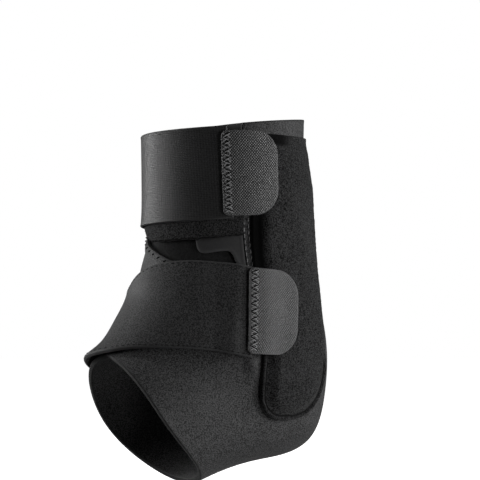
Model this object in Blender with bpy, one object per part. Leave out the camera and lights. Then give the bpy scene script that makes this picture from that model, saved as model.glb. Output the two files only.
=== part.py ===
"""Ankle support: a neoprene boot with two side pads, a tongue, a closing flap and two hook-ended straps.

Every piece is a patch laid on one smooth skin, the surface of the leg and foot that the boot is shaped on.
Frame: +Z up the leg, -X towards the toes, +Y the inner side. The origin is the middle of the ankle joint.
Angles go round the leg in degrees: 0 at the back, 90 at the inner side, 180 in front, -90 at the outer side.
Levels go down the boot: 0 at the edge round the leg, 1 at the edge round the foot.
"""

import math
from collections import namedtuple

import bmesh
import bpy
import numpy as np

for old in list(bpy.data.objects):
    bpy.data.objects.remove(old)

# The skin that the boot fits, in metres
CUFF_RISE = 0.100
LEG_DEPTH = 0.077
LEG_WIDTH = 0.068
INSTEP_REACH = 0.078
INSTEP_DROP = 0.030
HEEL_REACH = 0.051
SOLE_DROP = 0.087
FOOT_WIDTH = 0.070

# Thicknesses
WALL = 0.0030
WALL_AT_LAP = 0.0020
TONGUE_THICKNESS = 0.0015
FLAP_THICKNESS = 0.0015
FRONT_BAND_THICKNESS = 0.0015
PAD_THICKNESS = 0.0042
PAD_EDGE_THICKNESS = 0.0020
TOP_STRAP_THICKNESS = 0.0016
LOWER_STRAP_THICKNESS = 0.0028
TAB_THICKNESS = 0.0017
GAP = 0.0004

# The front slit, the tongue under it and the flap that closes it
SLIT_LEVEL = 0.40
SLIT_OUTER_ANGLE = -97.5
LAP_WIDTH = 0.010
LAP_FADE = 0.05
TONGUE_INSET = 0.001
TONGUE_UNDER_LAP = 0.009
FLAP_INSET = 0.001
FLAP_LENGTH = 0.072
FLAP_WIDTH = 0.028
BAND_SEAM = 0.0025
BAND_INSET = 0.0325
BAND_WIDTH = 0.0225
BAND_INNER_ANGLE = 140.0

# Pads
PAD_INSET = 0.0075
PAD_LENGTH = 0.146
PAD_WIDTH = 0.054
PAD_ANGLE = 58.5
PAD_LEAN = 1.5
PAD_TOP_ROUND = 0.008
PAD_TOE_ROUND = 0.012
PAD_HEEL_ROUND = 0.026
PAD_FLANGE = 0.0022
PAD_SLOPE = 0.0065

# Straps and their hook tabs
TOP_STRAP_INSET = -0.0005
TOP_STRAP_WIDTH = 0.0487
TOP_STRAP_TILT = 5.5
TOP_TAB_LENGTH = 0.0285
TOP_TAB_WIDTH = 0.044
TOP_TAB_TURN = -5.0
LOWER_STRAP_DROP = 0.0975
LOWER_STRAP_WIDTH = 0.045
LOWER_STRAP_TILT = 28.0
LOWER_STRAP_BEND = 36.0
LOWER_STRAP_BEND_LENGTH = 0.030
LOWER_STRAP_REACH = 0.055
LOWER_TAB_LENGTH = 0.0290
LOWER_TAB_WIDTH = 0.0425
LOWER_TAB_TURN = 0.0
TOP_STRAP_CLEARANCE = 0.0138
LOWER_STRAP_CLEARANCE = 0.0075
SEWN_CLEARANCE = 0.002
TAB_LAP = 0.004
TAB_FALL_START = 0.003
TAB_FALL = 0.006
SEWN_FALL = 0.014
CLIMB_START = 0.020
CLIMB_LENGTH = 0.012
TAB_CORNER = 0.003
TAB_ROUND = 0.013

Section = namedtuple("Section", "front front_rise back back_rise width squareness bias")

# Reaches are shares of LEG_DEPTH, rises of CUFF_RISE and half widths of LEG_WIDTH
LEG_SECTIONS = (
    Section(-0.505, 1.045, 0.480, 1.16, 0.505, 2.05, 0.04),
    Section(-0.497, 0.905, 0.480, 1.00, 0.500, 2.05, 0.04),
    Section(-0.494, 0.64, 0.480, 0.74, 0.485, 2.05, 0.04),
    Section(-0.512, 0.40, 0.520, 0.46, 0.470, 2.05, 0.02),
    Section(-0.574, 0.22, 0.577, 0.16, 0.485, 2.10, 0.00),
)

# In front, shares of INSTEP_REACH and INSTEP_DROP; behind, of HEEL_REACH and SOLE_DROP; widths of FOOT_WIDTH
FOOT_SECTIONS = (
    Section(-0.609, 0.23, 1.005, -0.160, 0.500, 2.10, -0.05),
    Section(-0.690, -0.17, 1.015, -0.460, 0.500, 2.10, -0.08),
    Section(-0.756, -0.43, 0.885, -0.720, 0.470, 2.15, -0.04),
    Section(-0.814, -0.63, 0.530, -0.833, 0.470, 2.20, 0.00),
    Section(-0.885, -0.80, 0.000, -0.885, 0.486, 2.30, 0.04),
    Section(-1.000, -1.00, -0.550, -1.000, 0.500, 2.30, 0.06),
    Section(-1.130, -1.20, -0.860, -1.070, 0.510, 2.30, 0.06),
)

# The slit's inner front edge: a share of SLIT_LEVEL down, and a share of the turn from front to outer edge
SlitPoint = namedtuple("SlitPoint", "level turn")
SLIT_EDGE = (
    SlitPoint(0.00, -0.27),
    SlitPoint(0.56, -0.27),
    SlitPoint(0.64, -0.11),
    SlitPoint(0.82, 0.47),
    SlitPoint(1.00, 1.00),
)

# The lower edge of the closing flap: a share of FLAP_WIDTH from the seam, and a share of FLAP_LENGTH down
FlapPoint = namedtuple("FlapPoint", "across down")
FLAP_EDGE = (
    FlapPoint(0.00, 1.00),
    FlapPoint(0.24, 1.00),
    FlapPoint(0.28, 0.95),
    FlapPoint(0.32, 0.90),
    FlapPoint(0.39, 0.88),
    FlapPoint(0.50, 0.875),
    FlapPoint(0.77, 0.88),
    FlapPoint(0.86, 0.87),
    FlapPoint(0.94, 0.84),
    FlapPoint(0.985, 0.80),
    FlapPoint(1.00, 0.75),
)

# A pad's half widths before its centre line and behind it: shares of PAD_WIDTH, at shares of PAD_LENGTH down
PadPoint = namedtuple("PadPoint", "down front back")
PAD_SIDES = (
    PadPoint(0.00, 0.46, 0.50),
    PadPoint(0.25, 0.46, 0.50),
    PadPoint(0.48, 0.43, 0.50),
    PadPoint(0.60, 0.365, 0.50),
    PadPoint(0.78, 0.36, 0.50),
    PadPoint(1.00, 0.33, 0.50),
)

# The boot's two edges: how far past level 0 or 1 each lies at an angle, the same on both sides
EdgePoint = namedtuple("EdgePoint", "angle past")
CUFF_EDGE = (
    EdgePoint(0.0, 0.000),
    EdgePoint(60.0, 0.006),
    EdgePoint(110.0, 0.012),
    EdgePoint(150.0, 0.006),
    EdgePoint(180.0, 0.000),
)
FOOT_EDGE = (
    EdgePoint(0.0, -0.015),
    EdgePoint(45.0, -0.010),
    EdgePoint(90.0, 0.000),
    EdgePoint(135.0, -0.045),
    EdgePoint(180.0, -0.120),
)

Look = namedtuple("Look", "colour roughness")
KNIT = Look((0.030, 0.031, 0.033), 0.90)
SMOOTH = Look((0.014, 0.015, 0.016), 0.80)
FLAP_CLOTH = Look((0.020, 0.021, 0.021), 0.80)
LOOP_PILE = Look((0.022, 0.022, 0.024), 1.00)
ELASTIC = Look((0.022, 0.023, 0.024), 0.75)
HOOK_TAPE = Look((0.080, 0.081, 0.085), 0.70)

ROWS_BELOW_SLIT = 17
SHELL_COLUMNS = 40
DOWN = np.array([0.0, 0.0, -1.0])
WALK_STEP = 0.004


def section_rows():
    """The sections as rows of reach, rise, half width, squareness and bias, in metres"""
    leg = [
        (s.front * LEG_DEPTH, s.front_rise * CUFF_RISE, s.back * LEG_DEPTH, s.back_rise * CUFF_RISE,
         s.width * LEG_WIDTH, s.squareness, s.bias)
        for s in LEG_SECTIONS
    ]
    foot = [
        (s.front * INSTEP_REACH, s.front_rise * INSTEP_DROP, s.back * HEEL_REACH, s.back_rise * SOLE_DROP,
         s.width * FOOT_WIDTH, s.squareness, s.bias)
        for s in FOOT_SECTIONS
    ]
    return np.array(leg + foot)


def spline_bends(rows):
    """Second differences of the natural cubic curve through evenly spaced rows"""
    count = len(rows)
    matrix = np.eye(count)
    target = np.zeros_like(rows)
    for i in range(1, count - 1):
        matrix[i, i - 1:i + 2] = (1, 4, 1)
        target[i] = 6 * (rows[i - 1] - 2 * rows[i] + rows[i + 1])
    return np.linalg.solve(matrix, target)


def on_spline(rows, bends, place):
    """The curve's value at a place counted in rows"""
    place = np.clip(place, 0, len(rows) - 1)
    i = np.minimum(place.astype(int), len(rows) - 2)
    after = (place - i)[..., None]
    before = 1 - after
    bend = (before**3 - before) * bends[i] + (after**3 - after) * bends[i + 1]
    return before * rows[i] + after * rows[i + 1] + bend / 6


ROWS = section_rows()
BENDS = spline_bends(ROWS)


def skin(level, angle):
    """Points of the skin; the angle is in radians"""
    level, angle = np.broadcast_arrays(np.asarray(level, float), np.asarray(angle, float))
    row = on_spline(ROWS, BENDS, 1 + level * (len(ROWS) - 3))
    front, front_rise, back, back_rise, width, squareness, bias = np.moveaxis(row, -1, 0)
    along, across = np.cos(angle), np.sin(angle)
    radius = (np.abs(along)**squareness + np.abs(across)**squareness)**(-1 / squareness)
    along, across = radius * along, radius * across
    x = (front + back) / 2 + (back - front) / 2 * along
    z = (front_rise + back_rise) / 2 + (back_rise - front_rise) / 2 * along
    y = width * across * (1 + bias * np.cos(angle))
    return np.stack([x, y, z], -1)


def slopes(surface, level, angle):
    """How a surface's point moves per unit of level and of angle"""
    step = 1e-4
    down = (surface(level + step, angle) - surface(level - step, angle)) / (2 * step)
    turn = (surface(level, angle + step) - surface(level, angle - step)) / (2 * step)
    return down, turn


def unit(vectors):
    return vectors / np.linalg.norm(vectors, axis=-1, keepdims=True)


def lift(level, angle, height):
    """Points at a height over the skin"""
    down, turn = slopes(skin, level, angle)
    return skin(level, angle) + unit(np.cross(down, turn)) * np.asarray(height, float)[..., None]


def stride(level, angle, heading, distance, height):
    """One straight step over the skin in a heading, and the heading after it"""
    def surface(at_level, at_angle):
        return lift(at_level, at_angle, height)

    def change(at_level, at_angle, towards):
        down, turn = slopes(surface, at_level, at_angle)
        aa, ab, bb = (down * down).sum(-1), (down * turn).sum(-1), (turn * turn).sum(-1)
        da, db = (down * towards).sum(-1), (turn * towards).sum(-1)
        spread = aa * bb - ab * ab
        return (bb * da - ab * db) / spread, (aa * db - ab * da) / spread

    half_level, half_angle = change(level, angle, heading)
    middle = level + half_level * distance / 2, angle + half_angle * distance / 2
    full_level, full_angle = change(*middle, heading_on(*middle, heading, height))
    level, angle = level + full_level * distance, angle + full_angle * distance
    return level, angle, heading_on(level, angle, heading, height)


def heading_on(level, angle, heading, height):
    """A heading laid flat on the surface"""
    down, turn = slopes(lambda a, b: lift(a, b, height), level, angle)
    normal = unit(np.cross(down, turn))
    return unit(heading - (heading * normal).sum(-1, keepdims=True) * normal)


def lay(level, angle, heading, distances, height, bend=0.0, bend_length=0.0):
    """Rows of places at distances along lines over the skin from distance 0, straight after a first bend"""
    level, angle = np.broadcast_arrays(np.asarray(level, float), np.asarray(angle, float))
    heading = heading_on(level, angle, np.broadcast_to(heading, level.shape + (3,)), height)
    place, reached, found = (level, angle, heading), np.zeros(level.shape), []
    for distance in distances:
        distance = np.broadcast_to(distance, level.shape)
        steps = max(1, math.ceil(np.max(np.abs(distance - reached)) / WALK_STEP))
        length = (distance - reached) / steps
        for step in range(steps):
            place = stride(*place, length, height)
            in_bend = np.abs(reached + length * (step + 0.5)) < bend_length
            if np.any(in_bend):
                place = turned(*place, bend * length / bend_length)
        reached = distance
        found.append(place)
    return [np.stack([place[k] for place in found]) for k in range(3)]


def lay_both_ways(level, angle, heading, bend, bend_length, distances, height):
    """As lay, for one line that runs both ways from its start and bends behind it"""
    ahead = [d for d in distances if d >= 0]
    behind = [d for d in distances if d < 0][::-1]
    one = lay(level, angle, heading, ahead, height)
    if not behind:
        return one
    other = lay(level, angle, heading, behind, height, bend, bend_length)
    return [np.concatenate([b[::-1], a]) for a, b in zip(one, other)]


def turned(level, angle, heading, turn):
    """A place whose heading is turned by an angle about the skin's normal"""
    down, across = slopes(skin, level, angle)
    side = np.cross(unit(np.cross(down, across)), heading)
    turn = np.asarray(turn)[..., None]
    return level, angle, heading * np.cos(turn) + side * np.sin(turn)


def ribbon(centre, left_widths, right_widths, shares, height):
    """Levels and angles of a grid across a centre line: shares of the half widths, from -1 at the left"""
    level, angle, heading = centre
    down, turn = slopes(lambda a, b: lift(a, b, height), level, angle)
    side = np.cross(unit(np.cross(down, turn)), heading)
    right = [s for s in shares if s >= 0]
    left = [s for s in shares if s < 0][::-1]
    one = lay(level, angle, side, [s * right_widths for s in right], height)
    other = lay(level, angle, side, [s * left_widths for s in left], height)
    return [np.concatenate([b[::-1], a]).T for a, b in zip(one[:2], other[:2])]


def slab(name, inner, outer, look):
    """A closed sheet between two grids of points"""
    rows, columns = inner.shape[:2]
    mesh = bmesh.new()
    top = [[mesh.verts.new(p) for p in line] for line in outer]
    under = [[mesh.verts.new(p) for p in line] for line in inner]
    for i in range(rows - 1):
        for j in range(columns - 1):
            mesh.faces.new((top[i][j], top[i + 1][j], top[i + 1][j + 1], top[i][j + 1]))
            mesh.faces.new((under[i][j], under[i][j + 1], under[i + 1][j + 1], under[i + 1][j]))
    border = [(i, 0) for i in range(rows)] + [(rows - 1, j) for j in range(1, columns)]
    border += [(i, columns - 1) for i in range(rows - 2, -1, -1)]
    border += [(0, j) for j in range(columns - 2, 0, -1)]
    for (i, j), (k, m) in zip(border, border[1:] + border[:1]):
        mesh.faces.new((top[k][m], top[i][j], under[i][j], under[k][m]))
    return finish(name, mesh, look)


def finish(name, mesh, look):
    """Turn the faces outwards and give the piece its material"""
    bmesh.ops.recalc_face_normals(mesh, faces=mesh.faces)
    data = bpy.data.meshes.new(name)
    mesh.to_mesh(data)
    mesh.free()
    data.shade_smooth()
    data.set_sharp_from_angle(angle=math.radians(40))
    piece = bpy.data.objects.new(name, data)
    bpy.context.scene.collection.objects.link(piece)
    material = bpy.data.materials.new(name)
    material.use_nodes = True
    shader = material.node_tree.nodes["Principled BSDF"]
    shader.inputs["Base Color"].default_value = (*look.colour, 1.0)
    shader.inputs["Roughness"].default_value = look.roughness
    shader.inputs["Metallic"].default_value = 0.0
    data.materials.append(material)
    return piece


def smooth_step(value):
    value = np.clip(value, 0, 1)
    return value * value * (3 - 2 * value)


# Heights over the skin, from the thicknesses
LAP_BASE = TONGUE_THICKNESS + GAP
LAP_TOP = LAP_BASE + WALL_AT_LAP
FLAP_TOP = LAP_BASE + FLAP_THICKNESS
BAND_BASE = max(LAP_TOP, FLAP_TOP, WALL) + GAP
BAND_TOP = BAND_BASE + FRONT_BAND_THICKNESS
PAD_BASE = WALL + GAP
PAD_TOP = PAD_BASE + PAD_THICKNESS
TOP_STRAP_BASE = BAND_TOP + GAP
TOP_STRAP_TOP = TOP_STRAP_BASE + TOP_STRAP_THICKNESS
LOWER_STRAP_BASE = BAND_BASE + GAP
ON_PAD = PAD_TOP + GAP
TAB_REST = max(TOP_STRAP_TOP + GAP, ON_PAD)
OUTER, INNER = -1, 1

# Angles that cover a given length round the leg
GAP_ANGLE = math.degrees(2 * GAP / LEG_DEPTH)
LAP_ANGLE = math.degrees(2 * LAP_WIDTH / LEG_DEPTH)
FLAP_ANGLE = math.degrees(2 * FLAP_WIDTH / LEG_DEPTH)


def read_table(table, at):
    """The second column of a table at values of its first"""
    points = np.array(table)
    return np.interp(at, points[:, 0], points[:, 1])


def slit_edge_angle(level):
    """The inner edge of the front slit, in degrees"""
    return 180 + read_table(SLIT_EDGE, level / SLIT_LEVEL) * (180 + SLIT_OUTER_ANGLE)


def edge_past(edge, angle):
    """How far past its level an edge lies, at an angle in degrees"""
    around = np.abs((angle + 180) % 360 - 180)
    place = np.interp(around, [p.angle for p in edge], range(len(edge)))
    past = np.array([[p.past] for p in edge])
    return on_spline(past, spline_bends(past), place)[..., 0]


def slit_levels():
    """Levels down the slit, closer together where its edge slants"""
    bend = SLIT_EDGE[1].level * SLIT_LEVEL
    return np.concatenate([np.linspace(0, bend, 6)[:-1], np.linspace(bend, SLIT_LEVEL, 9)])


def make_shell():
    """The boot: a tube round leg and foot, slit down the front, its inner edge raised over the tongue"""
    upper = slit_levels()
    slit_rows = len(upper) - 1
    shares = np.concatenate([upper, np.linspace(SLIT_LEVEL, 1, ROWS_BELOW_SLIT + 1)[1:]])[:, None]
    turn = np.linspace(0, 1, SHELL_COLUMNS + 1)
    inner_edge = np.where(shares < SLIT_LEVEL, slit_edge_angle(shares), 360 + SLIT_OUTER_ANGLE)
    angle = inner_edge + (SLIT_OUTER_ANGLE - inner_edge) * turn
    below = np.clip((shares - SLIT_LEVEL) / (1 - SLIT_LEVEL), 0, 1)
    above = np.clip(1 - shares / SLIT_LEVEL, 0, 1)
    level = shares + edge_past(FOOT_EDGE, angle) * below - edge_past(CUFF_EDGE, angle) * above
    past_lap = (inner_edge - angle) / LAP_ANGLE - 1
    raised = (1 - smooth_step(past_lap)) * (1 - smooth_step(below / LAP_FADE))
    outer = lift(level, np.radians(angle), WALL + (LAP_TOP - WALL) * raised)
    inner = lift(level, np.radians(angle), LAP_BASE * raised)

    mesh = bmesh.new()
    top, under = [], []
    for grid, points in ((top, outer), (under, inner)):
        for i, line in enumerate(points):
            ring = [mesh.verts.new(p) for p in line[:-1]]
            ring.append(mesh.verts.new(line[-1]) if i < slit_rows else ring[0])
            grid.append(ring)
    for i in range(len(top) - 1):
        for j in range(SHELL_COLUMNS):
            mesh.faces.new((top[i][j], top[i][j + 1], top[i + 1][j + 1], top[i + 1][j]))
            mesh.faces.new((under[i][j], under[i + 1][j], under[i + 1][j + 1], under[i][j + 1]))
    for i in (0, len(top) - 1):
        for j in range(SHELL_COLUMNS):
            mesh.faces.new((top[i][j], top[i][j + 1], under[i][j + 1], under[i][j]))
    for j in (0, SHELL_COLUMNS):
        for i in range(slit_rows):
            mesh.faces.new((top[i][j], top[i + 1][j], under[i + 1][j], under[i][j]))
    return finish("boot_shell", mesh, KNIT)


def make_tongue():
    """A thin tongue that fills the slit and reaches under the boot's inner front edge"""
    inset = lay(0.0, math.pi, DOWN, [TONGUE_INSET], 0.0)[0][0]
    level = np.maximum(slit_levels(), inset)[:, None]
    inner_edge = slit_edge_angle(level) - TONGUE_UNDER_LAP / LAP_WIDTH * LAP_ANGLE
    outer_edge = 360 + SLIT_OUTER_ANGLE - GAP_ANGLE
    angle = np.radians(inner_edge + (outer_edge - inner_edge) * np.linspace(0, 1, 9))
    level = level + np.zeros_like(angle)
    base = np.zeros_like(angle)
    return slab("tongue", lift(level, angle, base), lift(level, angle, base + TONGUE_THICKNESS), SMOOTH)


def make_flap():
    """The flap that closes the slit from its outer seam, with a notched lower edge"""
    across = np.array([p.across for p in FLAP_EDGE])
    seam = SLIT_OUTER_ANGLE - GAP_ANGLE
    angle = np.radians(seam - across * FLAP_ANGLE)
    length = FLAP_LENGTH * np.array([p.down for p in FLAP_EDGE])
    down = [FLAP_INSET + (length - FLAP_INSET) * share for share in np.linspace(0, 1, 12)]
    level = lay(0.0, angle, DOWN, down, LAP_BASE)[0]
    return slab("closure_flap", lift(level, angle, LAP_BASE), lift(level, angle, FLAP_TOP), FLAP_CLOTH)


def make_front_band():
    """The strip of loop pile under the top strap, from the seam round the front"""
    seam = SLIT_OUTER_ANGLE - BAND_SEAM / FLAP_WIDTH * FLAP_ANGLE
    angle = np.radians(np.linspace(seam, BAND_INNER_ANGLE - 360, 20))
    down = BAND_INSET + BAND_WIDTH * np.linspace(0, 1, 5)
    level = lay(0.0, angle, DOWN, down, BAND_BASE)[0]
    return slab("front_loop_band", lift(level, angle, BAND_BASE), lift(level, angle, BAND_TOP), LOOP_PILE)


def half_width_at(along, length, half, start_round, end_round):
    """The half width of a strip with rounded corners, at distances along it"""
    near_start = np.clip(start_round - along, 0, start_round)
    near_end = np.clip(along - length + end_round, 0, end_round)
    cut = start_round - np.sqrt(start_round**2 - near_start**2)
    return half - cut - end_round + np.sqrt(end_round**2 - near_end**2)


def pad_half_widths(along):
    """A pad's half widths before and behind its centre line, at distances down it"""
    sides = np.array(PAD_SIDES)
    place = np.interp(along / PAD_LENGTH, sides[:, 0], range(len(sides)))
    wide = PAD_WIDTH * on_spline(sides[:, 1:], spline_bends(sides[:, 1:]), place)
    front = half_width_at(along, PAD_LENGTH, wide[:, 0], PAD_TOP_ROUND, PAD_TOE_ROUND)
    back = half_width_at(along, PAD_LENGTH, wide[:, 1], PAD_TOP_ROUND, PAD_HEEL_ROUND)
    return front, back


def from_outline(along, across):
    """How far each place on a pad lies inside its outline; across is negative before the centre line"""
    down = PAD_LENGTH * (1 - np.cos(np.linspace(0, math.pi, 60))) / 2
    front, back = pad_half_widths(down)
    outline = np.concatenate([np.stack([down, -front], -1), np.stack([down, back], -1)[::-1]])
    start, run = outline, np.roll(outline, -1, 0) - outline
    to_place = np.stack(np.broadcast_arrays(along, across), -1)[..., None, :] - start
    share = np.clip((to_place * run).sum(-1) / np.maximum((run * run).sum(-1), 1e-18), 0, 1)
    return np.linalg.norm(to_place - share[..., None] * run, axis=-1).min(-1)


def pad_grid(side):
    """Levels and angles of a pad's grid, and how far each place lies inside its outline"""
    ring = [0.0, PAD_FLANGE, PAD_FLANGE + PAD_SLOPE / 2, PAD_FLANGE + PAD_SLOPE]
    middle = np.linspace(ring[-1], PAD_LENGTH - ring[-1], 20)[1:-1]
    along = np.array(ring + list(middle) + [PAD_LENGTH - d for d in reversed(ring)])
    side_shares = [1 - 2 * d / PAD_WIDTH for d in ring]
    middle_shares = list(np.linspace(-side_shares[-1], side_shares[-1], 7)[1:-1])
    shares = np.array([-s for s in side_shares] + middle_shares + side_shares[::-1])
    lean = math.radians(PAD_LEAN)
    heading = np.array([-math.sin(lean), 0.0, -math.cos(lean)])
    centre = lay(0.0, side * math.radians(PAD_ANGLE), heading, PAD_INSET + along, PAD_BASE)
    front, back = pad_half_widths(along)
    left, right = (front, back) if side == OUTER else (back, front)
    level, angle = ribbon(centre, left, right, shares, PAD_BASE)
    across = np.where(shares < 0, shares * left[:, None], shares * right[:, None])
    if side == INNER:
        across = -across
    return level, angle, from_outline(along[:, None], across)


def make_pad(name, side):
    """A padded panel down one side of the boot, thin at its stitched edge"""
    level, angle, inside = pad_grid(side)
    swell = smooth_step((inside - PAD_FLANGE) / PAD_SLOPE)
    top = PAD_BASE + PAD_EDGE_THICKNESS + (PAD_THICKNESS - PAD_EDGE_THICKNESS) * swell
    return slab(name, lift(level, angle, PAD_BASE), lift(level, angle, top), LOOP_PILE)


def pad_front(side):
    """Levels down the pad's front edge, and how far each is turned from the back"""
    level, angle, _ = pad_grid(side)
    column = 0 if side < 0 else -1
    return level[:, column], np.abs(angle[:, column])


PAD_FRONT = {OUTER: pad_front(OUTER), INNER: pad_front(INNER)}


def strap_line(drop, tilt, height, bend=0.0, bend_length=0.0):
    """Where a strap's centre line starts, in front, its heading there towards the outer side, and its bend"""
    level = lay(0.0, -math.pi, DOWN, [drop], height)[0][0]
    slope = math.radians(tilt)
    heading = np.array([0.0, -math.cos(slope), math.sin(slope)])
    return level, -math.pi, heading, math.radians(bend), bend_length


def reach(line, side, height):
    """How far along the line, from its start, it crosses the front edge of a pad"""
    distances = np.linspace(0, 1.3 * LEG_DEPTH, 50)
    level, angle, _ = lay(*line[:3], -side * distances, height)
    turned = np.abs((angle + math.pi) % (2 * math.pi) - math.pi)
    return np.interp(0, np.interp(level, *PAD_FRONT[side]) - turned, distances)


def strip_grid(line, start, end, width, cells, height, start_round=0.0, end_round=0.0):
    """Levels, angles and distances along for a strip on a strap's centre line"""
    length, half = end - start, width / 2
    along = np.linspace(0, length, cells + 1)
    if end_round:
        tip = length - end_round * (1 - np.sin(np.radians([0.0, 35.0, 60.0, 90.0])))
        along = np.concatenate([np.linspace(start_round, length - end_round, cells - 3)[:-1], tip])
        along = np.concatenate([[0.0, start_round / 3], along])
    widths = half_width_at(along, length, half, start_round, end_round)
    centre = lay_both_ways(*line, along + start, height)
    level, angle = ribbon(centre, widths, widths, np.linspace(-1, 1, 9), height)
    return level, angle, (along + start)[:, None]


def make_top_strap():
    """The elastic strap round the top, from the inner pad to the outer one"""
    line = TOP_LINE
    start = SEWN_CLEARANCE - reach(line, INNER, TOP_STRAP_BASE)
    level, angle, along = strip_grid(line, start, TOP_STRAP_END, TOP_STRAP_WIDTH, 22, TOP_STRAP_BASE)
    sewn = 1 - smooth_step((along - start) / SEWN_FALL)
    base = TOP_STRAP_BASE + (PAD_BASE - TOP_STRAP_BASE) * sewn + np.zeros_like(angle)
    top = base + TOP_STRAP_THICKNESS
    return slab("top_strap", lift(level, angle, base), lift(level, angle, top), ELASTIC)


def make_lower_strap():
    """The neoprene strap over the instep; its outer end rides up on the pad"""
    line = LOWER_LINE
    start = -LOWER_STRAP_REACH
    level, angle, along = strip_grid(line, start, LOWER_STRAP_END, LOWER_STRAP_WIDTH, 24, LOWER_STRAP_BASE)
    sewn = 1 - smooth_step((along - start) / SEWN_FALL)
    climb = smooth_step((along - LOWER_STRAP_END + CLIMB_START) / CLIMB_LENGTH)
    base = LOWER_STRAP_BASE + (PAD_BASE - LOWER_STRAP_BASE) * sewn + (ON_PAD - LOWER_STRAP_BASE) * climb
    base = base + np.zeros_like(angle)
    top = base + LOWER_STRAP_THICKNESS
    return slab("lower_strap", lift(level, angle, base), lift(level, angle, top), SMOOTH)


def make_tab(name, strap, height, strap_end, turn, length, width, over_strap):
    """A stiff hook tab sewn on a strap's end and pressed on the pad; its far corners are round"""
    end = [place[0] for place in lay(*strap[:3], [strap_end], height)]
    line = (*turned(*end, math.radians(turn)), 0.0, 0.0)
    level, angle, along = strip_grid(
        line, -TAB_LAP, length - TAB_LAP, width, 11, height, start_round=TAB_CORNER, end_round=TAB_ROUND)
    fall = smooth_step((along - TAB_FALL_START) / TAB_FALL)
    base = over_strap + (TAB_REST - over_strap) * fall + np.zeros_like(angle)
    return slab(name, lift(level, angle, base), lift(level, angle, base + TAB_THICKNESS), HOOK_TAPE)


TOP_LINE = strap_line(TOP_STRAP_INSET + TOP_STRAP_WIDTH / 2, TOP_STRAP_TILT, TOP_STRAP_BASE)
TOP_STRAP_END = reach(TOP_LINE, OUTER, TOP_STRAP_BASE) - TOP_STRAP_CLEARANCE
LOWER_LINE = strap_line(
    LOWER_STRAP_DROP, LOWER_STRAP_TILT, LOWER_STRAP_BASE, LOWER_STRAP_BEND, LOWER_STRAP_BEND_LENGTH)
LOWER_STRAP_END = reach(LOWER_LINE, OUTER, LOWER_STRAP_BASE) - LOWER_STRAP_CLEARANCE

make_shell()
make_tongue()
make_flap()
make_front_band()
make_pad("outer_pad", OUTER)
make_pad("inner_pad", INNER)
make_top_strap()
make_tab("top_hook_tab", TOP_LINE, TOP_STRAP_BASE, TOP_STRAP_END, TOP_TAB_TURN, TOP_TAB_LENGTH, TOP_TAB_WIDTH,
         TAB_REST)
make_lower_strap()
make_tab("lower_hook_tab", LOWER_LINE, LOWER_STRAP_BASE, LOWER_STRAP_END, LOWER_TAB_TURN, LOWER_TAB_LENGTH,
         LOWER_TAB_WIDTH, ON_PAD + LOWER_STRAP_THICKNESS + GAP)
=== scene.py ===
"""Looks of the ankle support: each piece as a fine mesh on the same smooth skin that the solids are laid on.

Frame: +Z up the leg, -X towards the toes, +Y the inner side, metres. The origin is the middle of the ankle joint.
Angles go round the leg in degrees: 0 at the back, 90 at the inner side, 180 in front, -90 at the outer side.
Levels go down the boot: 0 at the edge round the leg, 1 at the edge round the foot.
"""

import math
from collections import namedtuple

import bpy
import numpy as np
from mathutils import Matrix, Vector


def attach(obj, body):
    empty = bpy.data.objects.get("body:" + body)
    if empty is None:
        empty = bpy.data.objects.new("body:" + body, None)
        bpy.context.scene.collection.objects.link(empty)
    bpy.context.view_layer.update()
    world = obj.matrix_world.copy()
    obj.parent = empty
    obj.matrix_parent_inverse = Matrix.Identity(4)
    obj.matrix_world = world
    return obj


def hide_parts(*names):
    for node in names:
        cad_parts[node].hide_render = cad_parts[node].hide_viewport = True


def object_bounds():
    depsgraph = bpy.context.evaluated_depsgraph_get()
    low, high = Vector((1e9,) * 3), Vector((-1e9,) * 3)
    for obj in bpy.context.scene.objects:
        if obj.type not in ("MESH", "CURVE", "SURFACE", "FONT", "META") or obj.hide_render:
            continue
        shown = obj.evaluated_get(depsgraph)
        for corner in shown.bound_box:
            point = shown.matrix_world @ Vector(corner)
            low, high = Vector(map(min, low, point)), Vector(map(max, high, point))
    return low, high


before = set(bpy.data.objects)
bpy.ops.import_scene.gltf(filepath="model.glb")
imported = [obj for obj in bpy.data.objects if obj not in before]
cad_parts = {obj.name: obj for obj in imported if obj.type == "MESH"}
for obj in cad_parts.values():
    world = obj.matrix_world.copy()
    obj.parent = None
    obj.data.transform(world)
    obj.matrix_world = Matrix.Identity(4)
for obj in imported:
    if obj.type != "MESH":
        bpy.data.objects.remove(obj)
CAD_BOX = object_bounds()

# The skin that the boot fits, in metres
CUFF_RISE = 0.100
LEG_DEPTH = 0.077
LEG_WIDTH = 0.068
INSTEP_REACH = 0.078
INSTEP_DROP = 0.030
HEEL_REACH = 0.051
SOLE_DROP = 0.087
FOOT_WIDTH = 0.070

# Thicknesses
WALL = 0.0030
WALL_AT_LAP = 0.0020
TONGUE_THICKNESS = 0.0015
FLAP_THICKNESS = 0.0015
FRONT_BAND_THICKNESS = 0.0015
PAD_THICKNESS = 0.0042
PAD_EDGE_THICKNESS = 0.0020
TOP_STRAP_THICKNESS = 0.0016
LOWER_STRAP_THICKNESS = 0.0028
TAB_THICKNESS = 0.0017
GAP = 0.0004

# The front slit, the tongue under it and the flap that closes it
SLIT_LEVEL = 0.40
SLIT_OUTER_ANGLE = -98.5
SLIT_OUTER_LEAN = 5.5
LAP_WIDTH = 0.010
LAP_FADE = 0.05
TONGUE_INSET = 0.001
TONGUE_UNDER_LAP = 0.009
FLAP_INSET = 0.0001
FLAP_LENGTH = 0.072
FLAP_WIDTH = 0.0254
BAND_SEAM = 0.0036
BAND_INSET = 0.0325
BAND_WIDTH = 0.0225
BAND_INNER_ANGLE = 140.0
BAND_RISE = 0.010
BAND_RISE_ANGLES = (-172.0, -214.0)

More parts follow.
